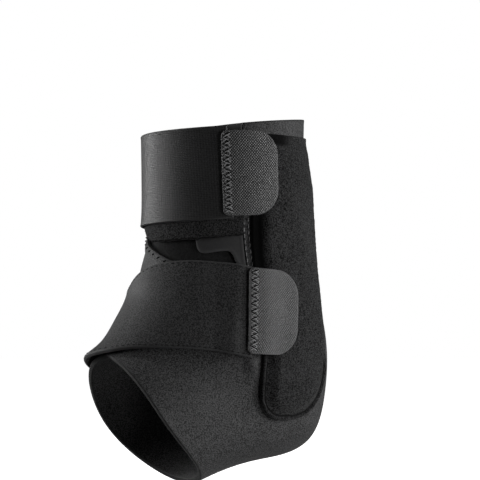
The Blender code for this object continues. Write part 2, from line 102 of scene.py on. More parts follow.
# Pads
PAD_INSET = 0.0075
PAD_LENGTH = 0.146
PAD_WIDTH = 0.054
PAD_ANGLE = 58.5
PAD_LEAN = 1.5
PAD_TOP_ROUND = 0.008
PAD_TOP_BACK_ROUND = 0.003
PAD_TOE_ROUND = 0.012
PAD_HEEL_ROUND = 0.026
PAD_FLANGE = 0.0022
PAD_SLOPE = 0.0065

# Straps and their hook tabs
TOP_STRAP_INSET = -0.00135
TOP_STRAP_WIDTH = 0.0472
TOP_STRAP_TILT = 3.1
TOP_TAB_LENGTH = 0.0285
TOP_TAB_WIDTH = 0.0432
TOP_TAB_TURN = -2.6
TOP_TAB_DROP = 0.0008
TOP_STRAP_UNDER_TAB = 0.0002
LOWER_STRAP_DROP = 0.0975
LOWER_STRAP_WIDTH = 0.045
LOWER_STRAP_TILT = 28.0
LOWER_STRAP_BEND = 36.0
LOWER_STRAP_BEND_LENGTH = 0.030
LOWER_STRAP_REACH = 0.055
LOWER_TAB_LENGTH = 0.0290
LOWER_TAB_WIDTH = 0.0425
LOWER_TAB_TURN = 0.0
TOP_STRAP_CLEARANCE = 0.0138
LOWER_STRAP_CLEARANCE = 0.0075
SEWN_CLEARANCE = 0.002
TAB_LAP = 0.004
TAB_FALL_START = 0.003
TAB_FALL = 0.016
SEWN_FALL = 0.014
CLIMB_START = 0.020
CLIMB_LENGTH = 0.012
TAB_CORNER = 0.003
TAB_ROUND = 0.013

# How finely the cloth is modelled
BOOT_COLUMNS = 210
BOOT_ROWS_ABOVE = 70
BOOT_ROWS_BELOW = 100
CUT_EDGE_ROUND = 0.0005
SLIT_BAND = 0.0030
SOFT_EDGE_ROUND = 0.0008

# Reliefs of the boot: how deep and how wide its soft dents are, and the pucker beside the outer pad
DENT_DEPTH = 0.0005
DENT_SIZE = 0.022
PUCKER_HEIGHT = 0.0025
PUCKER_LEVEL = 0.587
PUCKER_ANGLE = -94.0
PUCKER_LENGTH = 0.006
PUCKER_WIDTH = 0.003

# The pad's rolled rim, the groove inside it, and its pile
RIM_WIDTH = 0.0020
RIM_HEIGHT = 0.0023
GROOVE_HEIGHT = 0.0012
GROOVE_AT = 0.0024
PAD_THIN_EDGE = 0.0006
PAD_TOP_SLOPE = 0.030
PILE_DEPTH = 0.00012
PILE_SIZE = 0.0012

# Painted shade on the flank down the pad's front side, above the lower tab
FLANK_END = 0.108
FLANK_SHADE_WIDTH = 0.0042
FLANK_SHADE_FADE = 0.0025

# Ribs of the elastic
RIB_PITCH = 0.0014
RIB_DEPTH = 0.00006

Section = namedtuple("Section", "front front_rise back back_rise width squareness bias")

# Reaches are shares of LEG_DEPTH, rises of CUFF_RISE and half widths of LEG_WIDTH
LEG_SECTIONS = (
    Section(-0.505, 1.045, 0.480, 1.16, 0.505, 2.05, 0.04),
    Section(-0.497, 0.905, 0.480, 1.00, 0.500, 2.05, 0.04),
    Section(-0.494, 0.64, 0.480, 0.74, 0.485, 2.05, 0.04),
    Section(-0.512, 0.40, 0.520, 0.46, 0.470, 2.05, 0.02),
    Section(-0.574, 0.22, 0.577, 0.16, 0.485, 2.10, 0.00),
)

# In front, shares of INSTEP_REACH and INSTEP_DROP; behind, of HEEL_REACH and SOLE_DROP; half widths of FOOT_WIDTH
FOOT_SECTIONS = (
    Section(-0.609, 0.23, 1.005, -0.160, 0.500, 2.10, -0.05),
    Section(-0.690, -0.17, 1.015, -0.460, 0.500, 2.10, -0.08),
    Section(-0.756, -0.43, 0.885, -0.720, 0.470, 2.15, -0.04),
    Section(-0.814, -0.63, 0.530, -0.833, 0.470, 2.20, 0.00),
    Section(-0.885, -0.80, 0.000, -0.885, 0.486, 2.30, 0.04),
    Section(-1.000, -1.00, -0.550, -1.000, 0.500, 2.30, 0.06),
    Section(-1.130, -1.20, -0.860, -1.070, 0.510, 2.30, 0.06),
)

# The inner front edge of the slit: a share of SLIT_LEVEL down, and a share of the turn from front to outer edge
SlitPoint = namedtuple("SlitPoint", "level turn")
SLIT_EDGE = (
    SlitPoint(0.00, -0.27),
    SlitPoint(0.56, -0.27),
    SlitPoint(0.64, -0.11),
    SlitPoint(0.82, 0.47),
    SlitPoint(1.00, 1.00),
)

# The lower edge of the closing flap: a share of FLAP_WIDTH from the seam, and a share of FLAP_LENGTH down
FlapPoint = namedtuple("FlapPoint", "across down")
FLAP_EDGE = (
    FlapPoint(0.00, 1.00),
    FlapPoint(0.15, 1.00),
    FlapPoint(0.19, 0.95),
    FlapPoint(0.24, 0.90),
    FlapPoint(0.31, 0.88),
    FlapPoint(0.46, 0.875),
    FlapPoint(0.77, 0.88),
    FlapPoint(0.86, 0.87),
    FlapPoint(0.94, 0.84),
    FlapPoint(0.985, 0.80),
    FlapPoint(1.00, 0.75),
)

# A pad's half widths before its centre line and behind it: shares of PAD_WIDTH, at shares of PAD_LENGTH down
PadPoint = namedtuple("PadPoint", "down front back")
PAD_SIDES = (
    PadPoint(0.00, 0.46, 0.50),
    PadPoint(0.25, 0.46, 0.50),
    PadPoint(0.48, 0.43, 0.50),
    PadPoint(0.60, 0.365, 0.50),
    PadPoint(0.78, 0.36, 0.50),
    PadPoint(1.00, 0.33, 0.50),
)

# The boot's two edges: how far past level 0 or 1 each lies at an angle, the same on both sides
EdgePoint = namedtuple("EdgePoint", "angle past")
CUFF_EDGE = (
    EdgePoint(0.0, 0.000),
    EdgePoint(60.0, 0.006),
    EdgePoint(110.0, 0.012),
    EdgePoint(150.0, 0.006),
    EdgePoint(180.0, 0.000),
)
FOOT_EDGE = (
    EdgePoint(0.0, -0.015),
    EdgePoint(45.0, -0.010),
    EdgePoint(90.0, 0.000),
    EdgePoint(135.0, -0.045),
    EdgePoint(180.0, -0.120),
)


DOWN = np.array([0.0, 0.0, -1.0])
WALK_STEP = 0.004


def section_rows():
    """The sections as rows of reach, rise, half width, squareness and bias, in metres"""
    leg = [
        (s.front * LEG_DEPTH, s.front_rise * CUFF_RISE, s.back * LEG_DEPTH, s.back_rise * CUFF_RISE,
         s.width * LEG_WIDTH, s.squareness, s.bias)
        for s in LEG_SECTIONS
    ]
    foot = [
        (s.front * INSTEP_REACH, s.front_rise * INSTEP_DROP, s.back * HEEL_REACH, s.back_rise * SOLE_DROP,
         s.width * FOOT_WIDTH, s.squareness, s.bias)
        for s in FOOT_SECTIONS
    ]
    return np.array(leg + foot)


def spline_bends(rows):
    """Second differences of the natural cubic curve through evenly spaced rows"""
    count = len(rows)
    matrix = np.eye(count)
    target = np.zeros_like(rows)
    for i in range(1, count - 1):
        matrix[i, i - 1:i + 2] = (1, 4, 1)
        target[i] = 6 * (rows[i - 1] - 2 * rows[i] + rows[i + 1])
    return np.linalg.solve(matrix, target)


def on_spline(rows, bends, place):
    """The curve's value at a place counted in rows"""
    place = np.clip(place, 0, len(rows) - 1)
    i = np.minimum(place.astype(int), len(rows) - 2)
    after = (place - i)[..., None]
    before = 1 - after
    bend = (before**3 - before) * bends[i] + (after**3 - after) * bends[i + 1]
    return before * rows[i] + after * rows[i + 1] + bend / 6


ROWS = section_rows()
BENDS = spline_bends(ROWS)


def skin(level, angle):
    """Points of the skin; the angle is in radians"""
    level, angle = np.broadcast_arrays(np.asarray(level, float), np.asarray(angle, float))
    row = on_spline(ROWS, BENDS, 1 + level * (len(ROWS) - 3))
    front, front_rise, back, back_rise, width, squareness, bias = np.moveaxis(row, -1, 0)
    along, across = np.cos(angle), np.sin(angle)
    radius = (np.abs(along)**squareness + np.abs(across)**squareness)**(-1 / squareness)
    along, across = radius * along, radius * across
    x = (front + back) / 2 + (back - front) / 2 * along
    z = (front_rise + back_rise) / 2 + (back_rise - front_rise) / 2 * along
    y = width * across * (1 + bias * np.cos(angle))
    return np.stack([x, y, z], -1)


def slopes(surface, level, angle):
    """How a surface's point moves per unit of level and of angle"""
    step = 1e-4
    down = (surface(level + step, angle) - surface(level - step, angle)) / (2 * step)
    turn = (surface(level, angle + step) - surface(level, angle - step)) / (2 * step)
    return down, turn


def unit(vectors):
    return vectors / np.linalg.norm(vectors, axis=-1, keepdims=True)


def lift(level, angle, height):
    """Points at a height over the skin"""
    down, turn = slopes(skin, level, angle)
    return skin(level, angle) + unit(np.cross(down, turn)) * np.asarray(height, float)[..., None]


def stride(level, angle, heading, distance, height):
    """One straight step over the skin in a heading, and the heading after it"""
    def surface(at_level, at_angle):
        return lift(at_level, at_angle, height)

    def change(at_level, at_angle, towards):
        down, turn = slopes(surface, at_level, at_angle)
        aa, ab, bb = (down * down).sum(-1), (down * turn).sum(-1), (turn * turn).sum(-1)
        da, db = (down * towards).sum(-1), (turn * towards).sum(-1)
        spread = aa * bb - ab * ab
        return (bb * da - ab * db) / spread, (aa * db - ab * da) / spread

    half_level, half_angle = change(level, angle, heading)
    middle = level + half_level * distance / 2, angle + half_angle * distance / 2
    full_level, full_angle = change(*middle, heading_on(*middle, heading, height))
    level, angle = level + full_level * distance, angle + full_angle * distance
    return level, angle, heading_on(level, angle, heading, height)


def heading_on(level, angle, heading, height):
    """A heading laid flat on the surface"""
    down, turn = slopes(lambda a, b: lift(a, b, height), level, angle)
    normal = unit(np.cross(down, turn))
    return unit(heading - (heading * normal).sum(-1, keepdims=True) * normal)


def lay(level, angle, heading, distances, height, bend=0.0, bend_length=0.0):
    """Rows of places at distances along lines over the skin from distance 0, straight after a first bend"""
    level, angle = np.broadcast_arrays(np.asarray(level, float), np.asarray(angle, float))
    heading = heading_on(level, angle, np.broadcast_to(heading, level.shape + (3,)), height)
    place, reached, found = (level, angle, heading), np.zeros(level.shape), []
    for distance in distances:
        distance = np.broadcast_to(distance, level.shape)
        steps = max(1, math.ceil(np.max(np.abs(distance - reached)) / WALK_STEP))
        length = (distance - reached) / steps
        for step in range(steps):
            place = stride(*place, length, height)
            in_bend = np.abs(reached + length * (step + 0.5)) < bend_length
            if np.any(in_bend):
                place = turned(*place, bend * length / bend_length)
        reached = distance
        found.append(place)
    return [np.stack([place[k] for place in found]) for k in range(3)]


def lay_both_ways(level, angle, heading, bend, bend_length, distances, height):
    """As lay, for one line that runs both ways from its start and bends behind it"""
    ahead = [d for d in distances if d >= 0]
    behind = [d for d in distances if d < 0][::-1]
    one = lay(level, angle, heading, ahead, height)
    if not behind:
        return one
    other = lay(level, angle, heading, behind, height, bend, bend_length)
    return [np.concatenate([b[::-1], a]) for a, b in zip(one, other)]


def turned(level, angle, heading, turn):
    """A place whose heading is turned by an angle about the skin's normal"""
    down, across = slopes(skin, level, angle)
    side = np.cross(unit(np.cross(down, across)), heading)
    turn = np.asarray(turn)[..., None]
    return level, angle, heading * np.cos(turn) + side * np.sin(turn)


def ribbon(centre, left_widths, right_widths, shares, height):
    """Levels and angles of a grid across a centre line: shares of the half widths, from -1 at the left to 1"""
    level, angle, heading = centre
    down, turn = slopes(lambda a, b: lift(a, b, height), level, angle)
    side = np.cross(unit(np.cross(down, turn)), heading)
    right = [s for s in shares if s >= 0]
    left = [s for s in shares if s < 0][::-1]
    one = lay(level, angle, side, [s * right_widths for s in right], height)
    other = lay(level, angle, side, [s * left_widths for s in left], height)
    return [np.concatenate([b[::-1], a]).T for a, b in zip(one[:2], other[:2])]


def smooth_step(value):
    value = np.clip(value, 0, 1)
    return value * value * (3 - 2 * value)


# Heights over the skin, from the thicknesses
LAP_BASE = TONGUE_THICKNESS + GAP
LAP_TOP = LAP_BASE + WALL_AT_LAP
FLAP_TOP = LAP_BASE + FLAP_THICKNESS
BAND_BASE = max(LAP_TOP, FLAP_TOP, WALL) + GAP
BAND_TOP = BAND_BASE + FRONT_BAND_THICKNESS
PAD_BASE = WALL + GAP
PAD_TOP = PAD_BASE + PAD_THICKNESS
TOP_STRAP_BASE = BAND_TOP + GAP
TOP_STRAP_TOP = TOP_STRAP_BASE + TOP_STRAP_THICKNESS
LOWER_STRAP_BASE = BAND_BASE + GAP
ON_PAD = PAD_TOP + GAP
TAB_REST = max(TOP_STRAP_TOP + GAP, ON_PAD)
OUTER, INNER = -1, 1

# Angles that cover a given length round the leg
GAP_ANGLE = math.degrees(2 * GAP / LEG_DEPTH)
LAP_ANGLE = math.degrees(2 * LAP_WIDTH / LEG_DEPTH)
FLAP_ANGLE = math.degrees(2 * FLAP_WIDTH / LEG_DEPTH)


def read_table(table, at):
    """The second column of a table at values of its first"""
    points = np.array(table)
    return np.interp(at, points[:, 0], points[:, 1])


def slit_outer_angle(level):
    """The outer edge of the front slit in degrees, which leans forward above the slit's foot"""
    return SLIT_OUTER_ANGLE - SLIT_OUTER_LEAN * smooth_step((0.95 - level / SLIT_LEVEL) / 0.5)


def slit_edge_angle(level):
    """The inner edge of the front slit, in degrees"""
    return 180 + read_table(SLIT_EDGE, level / SLIT_LEVEL) * (180 + SLIT_OUTER_ANGLE)


def edge_past(edge, angle):
    """How far past its level an edge lies, at an angle in degrees"""
    around = np.abs((angle + 180) % 360 - 180)
    place = np.interp(around, [p.angle for p in edge], range(len(edge)))
    past = np.array([[p.past] for p in edge])
    return on_spline(past, spline_bends(past), place)[..., 0]


def half_width_at(along, length, half, start_round, end_round):
    """The half width of a strip with rounded corners, at distances along it"""
    near_start = np.clip(start_round - along, 0, start_round)
    near_end = np.clip(along - length + end_round, 0, end_round)
    cut = start_round - np.sqrt(start_round**2 - near_start**2)
    return half - cut - end_round + np.sqrt(end_round**2 - near_end**2)


def pad_half_widths(along):
    """A pad's half widths before and behind its centre line, at distances down it"""
    sides = np.array(PAD_SIDES)
    place = np.interp(along / PAD_LENGTH, sides[:, 0], range(len(sides)))
    wide = PAD_WIDTH * on_spline(sides[:, 1:], spline_bends(sides[:, 1:]), place)
    front = half_width_at(along, PAD_LENGTH, wide[:, 0], PAD_TOP_ROUND, PAD_TOE_ROUND)
    back = half_width_at(along, PAD_LENGTH, wide[:, 1], PAD_TOP_BACK_ROUND, PAD_HEEL_ROUND)
    return front, back


def noise(points, size, seed=0):
    """Smooth noise from -1 to 1 at rows of 2-D or 3-D places, with lumps of about a size"""
    places = np.asarray(points, float) / size + 37.7 * seed
    cell = np.floor(places).astype(np.int64)
    share = places - cell
    share = share * share * (3 - 2 * share)
    primes = np.array([73856093, 19349663, 83492791])[:places.shape[-1]]
    total = 0
    for corner in np.ndindex(*(2,) * places.shape[-1]):
        mixed = ((cell + corner) * primes).sum(-1) + 7919 * seed
        mixed = (mixed ^ (mixed >> 13)) * 1274126177
        value = ((mixed ^ (mixed >> 16)) & 65535) / 32767.5 - 1
        total = total + value * np.prod(np.where(corner, share, 1 - share), -1)
    return total


def fine_ends(length, cell, edge):
    """Distances from 0 to a length in even cells, with extra ones for the rounding of each end"""
    start = edge * np.array([0.0, 0.08, 0.3, 0.65])
    count = max(2, round((length - 2 * edge) / cell))
    middle = np.linspace(edge, length - edge, count + 1)
    return np.concatenate([start, middle, length - start[::-1]])


def rounded(inside, radius):
    """From 0 at an outline to 1 at a radius inside it, as a quarter circle"""
    return np.sqrt(1 - (1 - np.clip(inside / radius, 0, 1))**2)


def grid_quads(rows, columns, ring=False):
    """Corner numbers of the quads of a grid of points, closed into a ring where asked"""
    i, j = np.meshgrid(np.arange(rows - 1), np.arange(columns if ring else columns - 1), indexing="ij")
    k = (j + 1) % columns
    quads = np.stack([i * columns + j, (i + 1) * columns + j, (i + 1) * columns + k, i * columns + k], -1)
    return quads.reshape(-1, 4)


def border_of(rows, columns):
    """Corner numbers along a grid's border, in order"""
    last = (rows - 1) * columns
    return np.concatenate([
        np.arange(0, last, columns), np.arange(last, last + columns - 1),
        np.arange(last + columns - 1, columns - 1, -columns), np.arange(columns - 1, 0, -1)])


# Each sheet's places on its cloth, upper points and outward directions, for the threads sewn on it
CHARTS = {}


def mesh_piece(name, points, faces, places, marks=None):
    """A smooth-shaded object of quads, with each point's place on the cloth and its marks from 0 to 1"""
    mesh = bpy.data.meshes.new(name)
    mesh.vertices.add(len(points))
    mesh.vertices.foreach_set("co", np.asarray(points, np.float32).ravel())
    mesh.loops.add(faces.size)
    mesh.loops.foreach_set("vertex_index", faces.ravel().astype(np.int32))
    mesh.polygons.add(len(faces))
    mesh.polygons.foreach_set("loop_start", np.arange(0, faces.size, faces.shape[1], dtype=np.int32))
    mesh.update(calc_edges=True)
    layer = mesh.uv_layers.new(name="cloth")
    layer.data.foreach_set("uv", np.asarray(places, np.float32)[faces.ravel()].ravel())
    for key, values in (marks or {}).items():
        mark = mesh.attributes.new(key, "FLOAT", "POINT")
        mark.data.foreach_set("value", np.asarray(values, np.float32))
    mesh.shade_smooth()
    piece = bpy.data.objects.new(name, mesh)
    bpy.context.scene.collection.objects.link(piece)
    return piece


def volume(points, faces):
    """The signed volume inside closed quads, above 0 where they face out"""
    a, b, c, d = (points[faces[:, k]] for k in range(4))
    return (np.cross(b - a, c - a) * a).sum() + (np.cross(c - a, d - a) * a).sum()


def facing_out(points, faces):
    return faces if volume(points - points.mean(0), faces) > 0 else faces[:, ::-1]


def cloth(name, level, angle, base, top, places, marks=None):
    """A closed sheet of cloth between two heights over the skin"""
    rows, columns = level.shape
    over = lift(level, angle, top)
    under = lift(level, angle, base)
    quads = grid_quads(rows, columns)
    border = border_of(rows, columns)
    count = rows * columns
    following = np.roll(border, -1)
    sides = np.stack([border, border + count, following + count, following], -1)
    faces = np.concatenate([quads, quads[:, ::-1] + count, sides])
    points = np.concatenate([over.reshape(-1, 3), under.reshape(-1, 3)])
    CHARTS[name] = places, over, unit(over - under)
    places = np.concatenate([places.reshape(-1, 2)] * 2)
    marks = {key: np.concatenate([np.ravel(value)] * 2) for key, value in (marks or {}).items()}
    return mesh_piece(name, points, facing_out(points, faces), places, marks)


def smooth_levels(level, angle, past_foot, past_cuff):
    """Levels shifted by the boot's two curved edges"""
    below = np.clip((level - SLIT_LEVEL) / (1 - SLIT_LEVEL), 0, 1)
    above = np.clip(1 - level / SLIT_LEVEL, 0, 1)
    return level + past_foot * below - past_cuff * above


def from_ends(points, axis):
    """The shorter way along the surface to either end of each line of points"""
    steps = np.linalg.norm(np.diff(points, axis=axis), axis=-1)
    zero = np.zeros_like(np.take(steps, [0], axis=axis))
    reached = np.concatenate([zero, np.cumsum(steps, axis=axis)], axis=axis)
    return np.minimum(reached, np.take(reached, [-1], axis=axis) - reached), reached


def boot_grid():
    """Levels, angles in degrees and the raised share of the boot's grid"""
    edge = np.array([0.0, 0.0004, 0.0012, 0.0026])
    upper = np.concatenate([edge, np.linspace(0.005, SLIT_LEVEL, BOOT_ROWS_ABOVE)])
    lower = np.concatenate([np.linspace(SLIT_LEVEL, 0.995, BOOT_ROWS_BELOW)[1:], 1 - edge[::-1]])
    shares = np.concatenate([upper, lower])[:, None]
    near = np.array([0.0, 0.0002, 0.0006, 0.0013])
    turn = np.concatenate([near, np.linspace(0.0025, 0.9975, BOOT_COLUMNS), 1 - near[::-1]])
    inner_edge = np.where(shares < SLIT_LEVEL, slit_edge_angle(shares), 360 + SLIT_OUTER_ANGLE)
    angle = inner_edge + (slit_outer_angle(shares) - inner_edge) * turn
    level = smooth_levels(shares, angle, edge_past(FOOT_EDGE, angle), edge_past(CUFF_EDGE, angle))
    below = np.clip((shares - SLIT_LEVEL) / (1 - SLIT_LEVEL), 0, 1)
    raised = (1 - smooth_step((inner_edge - angle) / LAP_ANGLE - 1)) * (1 - smooth_step(below / LAP_FADE))
    return level, angle, raised, len(upper)


def inner_edge_of(level):
    """The inner edge of the slit in degrees, held past its ends"""
    return slit_edge_angle(np.clip(level, 0, SLIT_LEVEL))


def boot_relief(level, angle, points):
    """Soft dents of the boot, and the pucker that stands up beside the outer pad"""
    dents = -DENT_DEPTH * (0.5 + 0.5 * noise(points, DENT_SIZE, 3))
    around = (angle + 180) % 360 - 180
    down = (level - PUCKER_LEVEL) * 0.19 / PUCKER_LENGTH
    across = np.radians(around - PUCKER_ANGLE) * LEG_DEPTH / 2 / PUCKER_WIDTH
    return dents + PUCKER_HEIGHT * np.exp(-(down - 0.5 * across)**2 - across**2)


def make_boot():
    """The boot, one closed sheet with a slit down its front"""
    level, angle, raised, slit_rows = boot_grid()
    rows, columns = level.shape
    points = skin(level, np.radians(angle))
    from_side, _ = from_ends(points, 1)
    from_side[slit_rows:] = 1.0
    from_end, reached = from_ends(points, 0)
    inside = np.minimum(from_side, from_end)
    cut = CUT_EDGE_ROUND * (1 - rounded(inside, CUT_EDGE_ROUND))
    top = WALL + (LAP_TOP - WALL) * raised - cut + boot_relief(level, angle, points) * rounded(inside, 0.004)
    base = LAP_BASE * raised + cut
    over, under = lift(level, np.radians(angle), top), lift(level, np.radians(angle), base)

    number = np.arange(rows * columns).reshape(rows, columns)
    number[slit_rows - 1:, -1] = number[slit_rows - 1:, 0]
    count = rows * columns
    a, b, c, d = number[:-1, :-1], number[1:, :-1], number[1:, 1:], number[:-1, 1:]
    quads = np.stack([a, b, c, d], -1).reshape(-1, 4)
    walls = []
    for line, flip in ((number[0], False), (number[-1], True),
                       (number[:slit_rows, 0], True), (number[:slit_rows, -1], False)):
        one, two = (line[1:], line[:-1]) if flip else (line[:-1], line[1:])
        walls.append(np.stack([one, two, two + count, one + count], -1))
    faces = np.concatenate([quads, quads[:, ::-1] + count, *walls])
    turn_in = (inner_edge_of(level) - angle) * math.radians(LEG_DEPTH / 2)
    slit_band = (np.abs(turn_in) < SLIT_BAND) & (np.arange(rows)[:, None] < slit_rows)
    # The cut mark makes the boot darker within about a millimetre of its cuff and foot edges: painted shade of the
    # dark line along these edges.
    marks = {"cut": np.exp(-(from_end / 0.0007)**2), "band": slit_band * 1.0}
    places = np.stack([np.radians(angle) * LEG_DEPTH / 2, reached], -1)
    return used_only("boot_knit", over, under, faces, places, marks)


def used_only(name, over, under, faces, places, marks):
    """A mesh of two layers of points, without those that no face uses"""
    points = np.concatenate([over.reshape(-1, 3), under.reshape(-1, 3)])
    used, faces = np.unique(faces, return_inverse=True)
    places = np.concatenate([places.reshape(-1, 2)] * 2)
    marks = {key: np.concatenate([value.ravel()] * 2)[used] for key, value in marks.items()}
    return mesh_piece(name, points[used], faces.reshape(-1, 4), places[used], marks)


def make_tongue():
    """The tongue that fills the slit and reaches under the boot's inner front edge"""
    inset = lay(0.0, math.pi, DOWN, [TONGUE_INSET], 0.0)[0][0]
    level = np.linspace(inset, SLIT_LEVEL, 90)[:, None]
    inner_edge = slit_edge_angle(level) - TONGUE_UNDER_LAP / LAP_WIDTH * LAP_ANGLE
    outer_edge = 360 + SLIT_OUTER_ANGLE - GAP_ANGLE
    angle = np.radians(inner_edge + (outer_edge - inner_edge) * np.linspace(0, 1, 100))
    level = level + np.zeros_like(angle)
    level = smooth_levels(level, angle, 0.0, edge_past(CUFF_EDGE, np.degrees(angle)))
    points = skin(level, angle)
    sag = 0.0003 * (noise(points, 0.014, 5) - 1)
    return cloth("tongue_cloth", level, angle, sag, TONGUE_THICKNESS + sag, points[..., ::2])


def make_flap():
    """The flap that closes the slit, thin, with a notched and bound lower edge"""
    table = np.array(FLAP_EDGE)
    across = fine_ends(FLAP_WIDTH, 0.0005, SOFT_EDGE_ROUND) / FLAP_WIDTH
    ends = FLAP_LENGTH * np.interp(across, table[:, 0], table[:, 1])
    ends = smoothed(ends, across)
    angle = np.radians(SLIT_OUTER_ANGLE - GAP_ANGLE - across * FLAP_ANGLE)
    shares = fine_ends(FLAP_LENGTH, 0.0007, SOFT_EDGE_ROUND) / FLAP_LENGTH
    down = FLAP_INSET + (ends - FLAP_INSET) * shares[:, None]
    level = lay(0.0, angle, DOWN, list(down), LAP_BASE)[0]
    angle = angle + np.radians(slit_outer_angle(level) - SLIT_OUTER_ANGLE) * (1 - across)
    level = smooth_levels(level, angle, 0.0, edge_past(CUFF_EDGE, np.degrees(angle)))
    outline = np.stack([np.concatenate([ends, [FLAP_INSET, FLAP_INSET]]),
                        np.concatenate([across, [1.0, 0.0]]) * FLAP_WIDTH], -1)
    inside = inside_flap(outline, down, across * FLAP_WIDTH)
    bound = 0.0002 * np.exp(-((inside - 0.0011) / 0.0006)**2)
    cut = 0.0006 * (1 - rounded(inside, SOFT_EDGE_ROUND))
    marks = {"rim": np.exp(-(inside / 0.0009)**2) * (across > 0.1)}
    places = np.stack([down, np.broadcast_to(across * FLAP_WIDTH, down.shape)], -1)
    return cloth("flap_panel", level, angle, LAP_BASE + cut, FLAP_TOP - cut + bound, places, marks)


def inside_flap(outline, down, across):
    """How far places of the flap lie inside its outline"""
    return inside_places(outline, np.stack([down, np.broadcast_to(across, down.shape)], -1))


def inside_places(outline, places):
    """How far each place lies from a closed outline"""
    run = np.roll(outline, -1, 0) - outline
    squared = np.maximum((run * run).sum(-1), 1e-18)
    found = np.zeros(places.shape[:-1])
    for i, row in enumerate(places):
        to_place = row[:, None, :] - outline
        share = np.clip((to_place * run).sum(-1) / squared, 0, 1)
        found[i] = np.linalg.norm(to_place - share[..., None] * run, axis=-1).min(-1)
    return found


def smoothed(values, places, reach=0.03):
    """Values at places, evened out over a reach"""
    weight = np.exp(-((places[:, None] - places) / reach)**2)
    return weight @ values / weight.sum(-1)


def make_front_band():
    """The strip of loop pile under the top strap, with a ragged lower edge"""
    seam = math.radians(SLIT_OUTER_ANGLE - BAND_SEAM / FLAP_WIDTH * FLAP_ANGLE)
    angle = np.linspace(seam, math.radians(BAND_INNER_ANGLE - 360), 260)
    shares = fine_ends(BAND_WIDTH, 0.0005, SOFT_EDGE_ROUND) / BAND_WIDTH
    places = np.stack([angle * LEG_DEPTH / 2, angle * 0], -1)
    ragged = 0.0004 * noise(places, 0.0011, 8)
    risen = smooth_step((np.degrees(angle) - BAND_RISE_ANGLES[0]) / (BAND_RISE_ANGLES[1] - BAND_RISE_ANGLES[0]))
    ends = BAND_WIDTH + ragged - BAND_RISE * risen
    down = BAND_INSET + ends * shares[:, None]
    level = lay(0.0, angle, DOWN, list(down), BAND_BASE)[0]
    angle = angle + np.zeros_like(level)
    along = np.broadcast_to(angle * LEG_DEPTH / 2, level.shape)
    places = np.stack([along, down], -1)
    inside = np.minimum(down - BAND_INSET, BAND_INSET + ends - down)
    pile = PILE_DEPTH * noise(places, PILE_SIZE, 9) * rounded(inside, 0.002)
    top = BAND_TOP - 0.0007 * (1 - rounded(inside, SOFT_EDGE_ROUND)) + np.minimum(pile, 0.0002)
    marks = {"rim": np.exp(-(inside / 0.0007)**2)}
    return cloth("loop_band", level, angle, BAND_BASE + np.zeros_like(level), top, places, marks)


def pad_places(side, along, shares):
    """Levels, angles and places across of a grid on a pad; places before the centre line are negative"""
    lean = math.radians(PAD_LEAN)
    heading = np.array([-math.sin(lean), 0.0, -math.cos(lean)])
    centre = lay(0.0, side * math.radians(PAD_ANGLE), heading, PAD_INSET + along, PAD_BASE)
    front, back = pad_half_widths(along)
    left, right = (front, back) if side == OUTER else (back, front)
    level, angle = ribbon(centre, left, right, shares, PAD_BASE)
    across = np.where(shares < 0, shares * left[:, None], shares * right[:, None])
    return level, angle, across if side == OUTER else -across


def pad_front(side):
    """Levels down the pad's front edge, and how far each is turned from the back"""
    level, angle, _ = pad_places(side, np.linspace(0, PAD_LENGTH, 60), np.array([-1.0, 1.0]))
    column = 0 if side == OUTER else -1
    return level[:, column], np.abs(angle[:, column])


PAD_FRONT = {OUTER: pad_front(OUTER), INNER: pad_front(INNER)}


def pad_outline():
    """A pad's outline as distances down and across"""
    down = PAD_LENGTH * (1 - np.cos(np.linspace(0, math.pi, 80))) / 2
    front, back = pad_half_widths(down)
    return np.concatenate([np.stack([down, -front], -1), np.stack([down, back], -1)[::-1]])


def make_panel(name, side, seed):
    """A padded panel with a rolled rim, a sewn groove inside it and a brushed face"""
    along = fine_ends(PAD_LENGTH, 0.0006, 0.0006)
    near = np.array([0.0, 0.003, 0.012, 0.03])
    shares = np.concatenate([-1 + near, np.linspace(-0.955, 0.955, 86), 1 - near[::-1]])
    level, angle, across = pad_places(side, along, shares)
    places = np.stack([np.broadcast_to(along[:, None], across.shape), across], -1)
    inside = inside_places(pad_outline(), places)
    rim = np.clip(1 - ((inside - RIM_WIDTH / 2) / (RIM_WIDTH / 2))**2, 0, 1)**0.5
    swell = smooth_step((inside - GROOVE_AT) / PAD_SLOPE)
    filled = GROOVE_HEIGHT + (PAD_THICKNESS - GROOVE_HEIGHT) * swell
    brushed = smooth_step((inside - GROOVE_AT) / 0.0015)
    pile = PILE_DEPTH * (noise(places, PILE_SIZE, seed) + 0.6 * noise(places, PILE_SIZE * 0.5, seed + 1)) * brushed
    low = smooth_step((along[:, None] - FLANK_END) / 0.012)
    thin = 0.25 + 0.75 * smooth_step(along[:, None] / PAD_TOP_SLOPE)
    rolled = PAD_THIN_EDGE + (GROOVE_HEIGHT + (RIM_HEIGHT - GROOVE_HEIGHT) * low - PAD_THIN_EDGE) * rim * thin
    top = np.where(inside < RIM_WIDTH, rolled, PAD_THIN_EDGE + (filled - PAD_THIN_EDGE) * thin)
    top = PAD_BASE + top + np.minimum(pile, 0.0003)
    # The rim mark paints shade on the pad: darker down the front flank above the lower tab, and in the groove inside
    # the rim below it.
    front = smooth_step(-across / 0.01)
    flank_shade = (1 - smooth_step((inside - FLANK_SHADE_WIDTH) / FLANK_SHADE_FADE)) * front * (1 - low)
    groove = np.exp(-((inside - GROOVE_AT) / 0.0005)**2) * low
    marks = {"rim": np.maximum(flank_shade, groove)}
    return cloth(name, level, angle, PAD_BASE + np.zeros_like(level), top, places, marks)


def strap_line(drop, tilt, height, bend=0.0, bend_length=0.0):
    """Where a strap's centre line starts, in front, its heading there towards the outer side, and its bend"""
    level = lay(0.0, -math.pi, DOWN, [drop], height)[0][0]
    slope = math.radians(tilt)
    heading = np.array([0.0, -math.cos(slope), math.sin(slope)])
    return level, -math.pi, heading, math.radians(bend), bend_length


